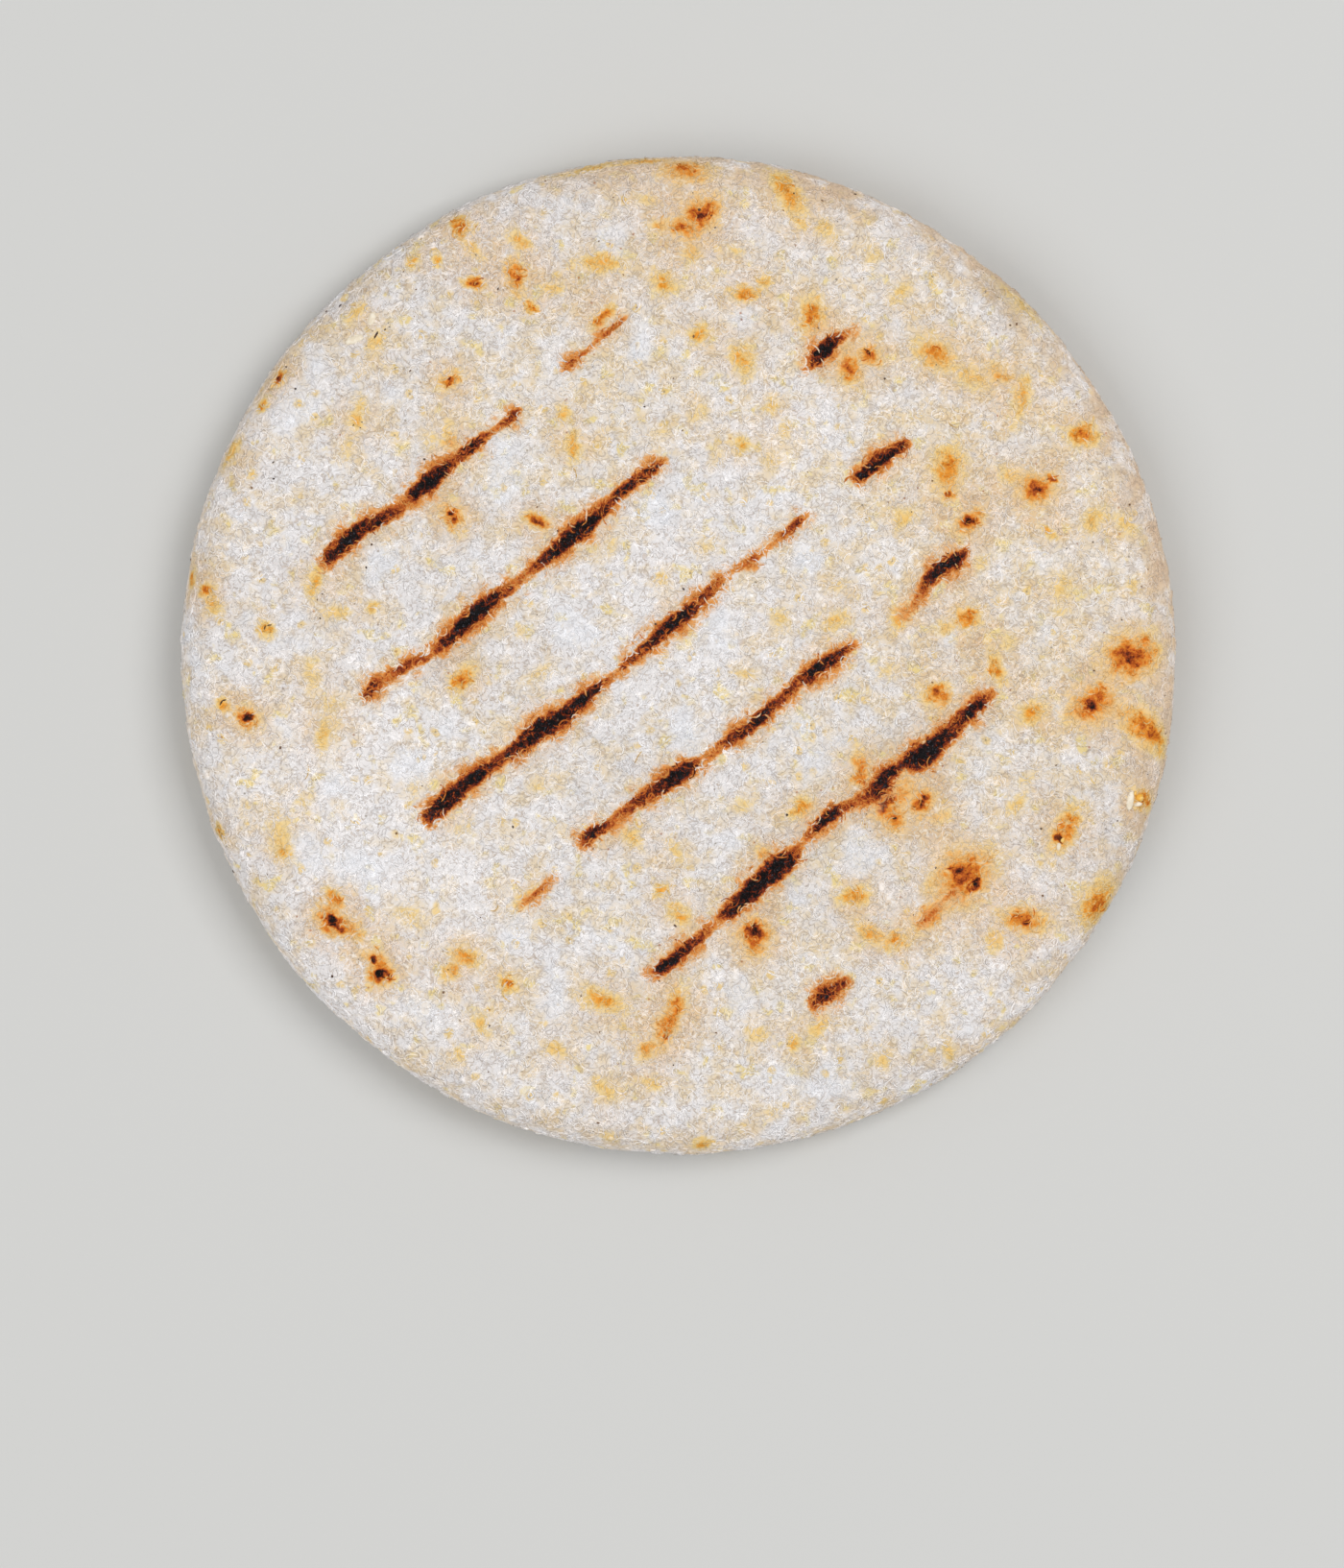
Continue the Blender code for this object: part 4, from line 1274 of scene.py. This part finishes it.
    def scorched(self, raw):
        """The heat of the scorch lines, with ragged sides and a faint halo."""
        ragged = (self.noise(1.7, 2.0) - 0.5) * 1.1 + (self.noise(0.62) - 0.5) * 0.9
        fall = self.falling(abs(self.field("bar_side") + ragged), 3.0, 0.54)
        halo = self.field("bar_skirt") * 0.28 * raw
        halo *= self.patchy(0.45, 2.0, (0.36, 0.66, 0.08, 1.55))
        heat = self.field("bar_heat") * self.patchy(1.5, 2.0, (*NOISE_RANGE, 0.80, 1.22))
        solid = self.step(heat, 0.65, 1.0) * fall * (0.35 if self.loose else 0.75)
        cored = raw + solid * (1.0 - raw)
        return self.higher(heat * fall * cored, halo) * self.flicker(0.82, 1.18)

    def toasted(self, browned):
        """The heat of the toasted blotches, and of a light freckling of the underside."""
        toast = self.patchy(0.42, 3.0, (0.54, 0.74)) * self.field("under") * 0.42
        ragged = (self.noise(1.2, 3.0) - 0.55) * 1.5
        warps = self.add("SeparateColor", (0, 1), {0: self.noise(0.62, 2.0, output="Color")})
        warps = [(warp - 0.5) * 1.7 for warp in warps]
        for number in range(BLOTCH_LAYERS):
            fray = self.field(f"blotch_fray{number}")
            u = self.field(f"blotch_u{number}") + warps[0] * fray
            v = self.field(f"blotch_v{number}") + warps[1] * fray
            reach = self.higher(self.maths("SQRT", u * u + v * v) + ragged * fray, 0.0)
            heat = self.field(f"blotch_heat{number}") * self.falling(reach, 1.65, 0.69)
            toast = self.higher(toast, heat)
        toast *= self.patchy(1.3, 2.0, (*NOISE_RANGE, 0.86, 1.22))
        browned += self.step(toast, 0.30, 0.60, 0.0, 0.75) * (0.98 - browned)
        return toast * browned * self.flicker(0.92, 1.08)

    def coloured(self):
        """The finished material."""
        dough, raw, browned = self.husk() if self.loose else self.dough()
        toast, scorched = self.toasted(browned), self.scorched(raw)
        hot = self.step(self.field("warmth"), 0.40, 0.95)
        toasted = self.mix(hot, self.ramp(toast, PATCH_COLOURS), self.ramp(toast, TOAST_COLOURS))
        colour = self.mix(self.step(toast, 0.01, 0.22), self.weathered(dough), toasted)
        scorch_colour = self.ramp(scorched, SCORCH_COLOURS)
        colour = self.mix(self.step(scorched, 0.015, 0.14), colour, scorch_colour)
        # Painted glints: bluish grey flecks in the char stand for its sheen
        painted_glint = self.step(scorched, 0.50, 0.75) * self.step(self.fine, 0.58, 0.70) * 0.42
        colour = self.mix(painted_glint, colour, PAINTED_CHAR_GLINT)
        height = self.threads * 0.7 + self.fine * 0.35 - self.gaps * 0.5 - self.creases * 0.8
        inputs = {"Strength": 0.8, "Distance": 0.09 * MM, "Height": height}
        return self.finish(colour, self.flicker(0.60, 0.80), 0.16, self.add("Bump", 0, inputs))


def speck_material():
    net = Net("bran_speck")
    fine = net.noise(3.0, 2.0)
    colour = net.mix(net.step(net.field("tone"), 0.2, 0.9), BRAN, LIGHT_BRAN)
    colour = net.mix(net.step(fine, 0.45, 0.7, 0.0, 0.5), colour, DARK_BRAN)
    return net.finish(colour, net.step(fine, *NOISE_RANGE, 0.5, 0.7))


def bit_material(name, colour, other):
    net = Net(name)
    mottled = net.mix(net.patchy(1.8, 3.0, (0.40, 0.62)), colour, other)
    return net.finish(mottled, net.patchy(4.0, 1.0, (*NOISE_RANGE, 0.45, 0.65)), 0.3)


# The arepa: its crust, then all that lies on it

FROST_BARENESS = 0.12
HUSK_WIDTH = (0.095, 0.150)
THIN_HUSK_WIDTH = (0.085, 0.120)
FIBRE_WIDTH = (0.055, 0.065)
GRITS = 1300
SPECKS = 460

crust = Crust()
body = crust.piece(CrustNet("hominy_crust", False).coloured())
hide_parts("arepa")

height = crust.places[:, 2]
upper = smooth_step((height - TOP_FROM) / TOP_FULLY_AFTER) * (1.0 - crust.fields["under"])
threaded = 1.0 - FROST_BARENESS * crust.fields["frost"]
lower = 1.0 - upper
loose_crust = CrustNet("loose_hominy", True).coloured()
draw = np.random.default_rng(SEED + 3)

# Husks: how many, where, the ranges of their length and turn, half width, depth and tones
for name, count, liking, length, turn, half_width, sunk, tones in (
    ("husk_curls", 3600, upper * threaded, (1.4, 3.2), (110, 320), HUSK_WIDTH, 0.0, None),
    ("husk_threads", 1900, upper * threaded, (1.0, 2.6), (20, 130), HUSK_WIDTH, 0.0, None),
    ("husk_curls_below", 4500, lower * threaded, (1.2, 3.0), (20, 280), HUSK_WIDTH, 0.0, None),
    ("pale_husks", 5600, upper, (1.1, 2.8), (60, 320), THIN_HUSK_WIDTH, -0.05, (0.70, 1.0)),
):
    shapes = curl_shapes(draw, count, length, turn, half_width)
    spots = crust.pick(draw, count, liking)
    tones = draw.uniform(*tones, count) if tones else None
    scatter(name, draw, shapes, CURL_FACES, spots, loose_crust, sunk, tones, flank=CURL_FLANK)

# Grits anywhere, and bran specks mostly where the crust is toasted
points, faces = ball(2)
sizes = grain_sizes(draw, GRITS, 0.20, 0.34, 3.0)
shapes = grit_shapes(draw, points, sizes, (0.35, 0.6), 0.05)
tones = draw.uniform(0.0, 0.8, GRITS)
spots = crust.pick(draw, GRITS, np.ones(len(crust.places)))
scatter("hominy_grits", draw, shapes, faces, spots, loose_crust, 0.05, tones)

points, faces = ball(1)
sizes = grain_sizes(draw, SPECKS, 0.08, 0.13, 2.5)
shapes = grit_shapes(draw, points, sizes, (0.5, 0.8), 0.12)
toasty = 0.35 + crust.fields["warmth"] * 1.5 + crust.fields["rim"] * 0.5
spots = crust.pick(draw, SPECKS, toasty)
scatter("bran_specks", draw, shapes, faces, spots, speck_material())

# Crumbs and burnt ticks at their places: how knobby and how flat they are
points, faces = ball(3)
for name, marks, knobs, flat, colours in (
    ("pale_chips", PALE_CHIPS, 0.05, 0.55, CHIP_COLOURS),
    ("golden_chips", GOLDEN_CHIPS, 0.09, 0.90, GOLDEN_CHIP_COLOURS),
    ("dark_ticks", DARK_TICKS, 0.07, 0.80, TICK_COLOURS),
):
    shapes = grit_shapes(draw, points, np.ones(len(marks)), (flat, flat), knobs)
    shapes = placed_shapes(shapes, marks)
    bits = bit_material(name, *colours)
    scatter(name, draw, shapes, faces, crust.under(marks), bits, 0.02, turned=False)

shapes = [
    curl_shapes(draw, 1, (length, length), (bend, bend + 1.0), FIBRE_WIDTH)
    for _, _, length, _, bend in FIBRES
]
marks = [(x, y, 1.0, 1.0, turn) for x, y, _, turn, _ in FIBRES]
shapes = placed_shapes(np.concatenate(shapes), marks)
bits = bit_material("golden_fibre", *FIBRE_COLOURS)
scatter("stray_fibres", draw, shapes, CURL_FACES, crust.under(marks), bits, -0.08, turned=False)


# The studio: a floor, two soft lamps, a bright room and the camera

FLOOR_HALF = 3.0
FLOOR_BELOW = 0.05 * MM
ROOM_LIGHT = 0.49


def softbox(name, place, size, watts):
    lamp = bpy.data.lights.new(name, "AREA")
    lamp.shape = "SQUARE"
    lamp.size = size
    lamp.energy = watts
    made = add_object(name, lamp)
    made.location = place
    made.rotation_euler = (-Vector(place)).to_track_quat("-Z", "Y").to_euler()


mesh = bpy.data.meshes.new("floor")
signs = ((-1, -1), (1, -1), (1, 1), (-1, 1))
corners = [(x * FLOOR_HALF, y * FLOOR_HALF, -FLOOR_BELOW) for x, y in signs]
mesh.from_pydata(corners, [], [(0, 1, 2, 3)])
mesh.materials.append(Net("pale_floor").finish(FLOOR_GREY, 0.9, 0.1))
floor = add_object("floor", mesh)

# Each lamp's place and width are in metres
softbox("key", (0.50, 0.22, 1.05), 0.60, 6.2)
softbox("fill", (-0.60, -0.35, 1.00), 0.80, 4.3)

world = bpy.data.worlds.new("studio")
world.use_nodes = True
world.node_tree.nodes["Background"].inputs["Color"].default_value = (1.0, 1.0, 1.0, 1.0)
world.node_tree.nodes["Background"].inputs["Strength"].default_value = ROOM_LIGHT
bpy.context.scene.world = world
bpy.context.scene.view_settings.view_transform = "Standard"

# The camera looks straight down. The disc's middle and radius are as in the 1400 by 1633 frame.
FRAME_WIDTH, FRAME_HEIGHT = 1400.0, 1633.0
DISC_X, DISC_Y = 706.4, 683.1
PIXELS_PER_MM = 8.62
CAMERA_ABOVE = 900.0
SENSOR = 36.0
camera = bpy.data.cameras.new("camera")
camera.sensor_width = SENSOR
camera.lens = PIXELS_PER_MM * CAMERA_ABOVE * SENSOR / FRAME_HEIGHT
camera.clip_start, camera.clip_end = 0.05, 20.0
camera_object = add_object("camera", camera)
camera_object.location = (
    (FRAME_WIDTH / 2 - DISC_X) / PIXELS_PER_MM * MM,
    (DISC_Y - FRAME_HEIGHT / 2) / PIXELS_PER_MM * MM,
    (CAMERA_ABOVE + WIDEST_AT) * MM,
)
bpy.context.scene.camera = camera_object
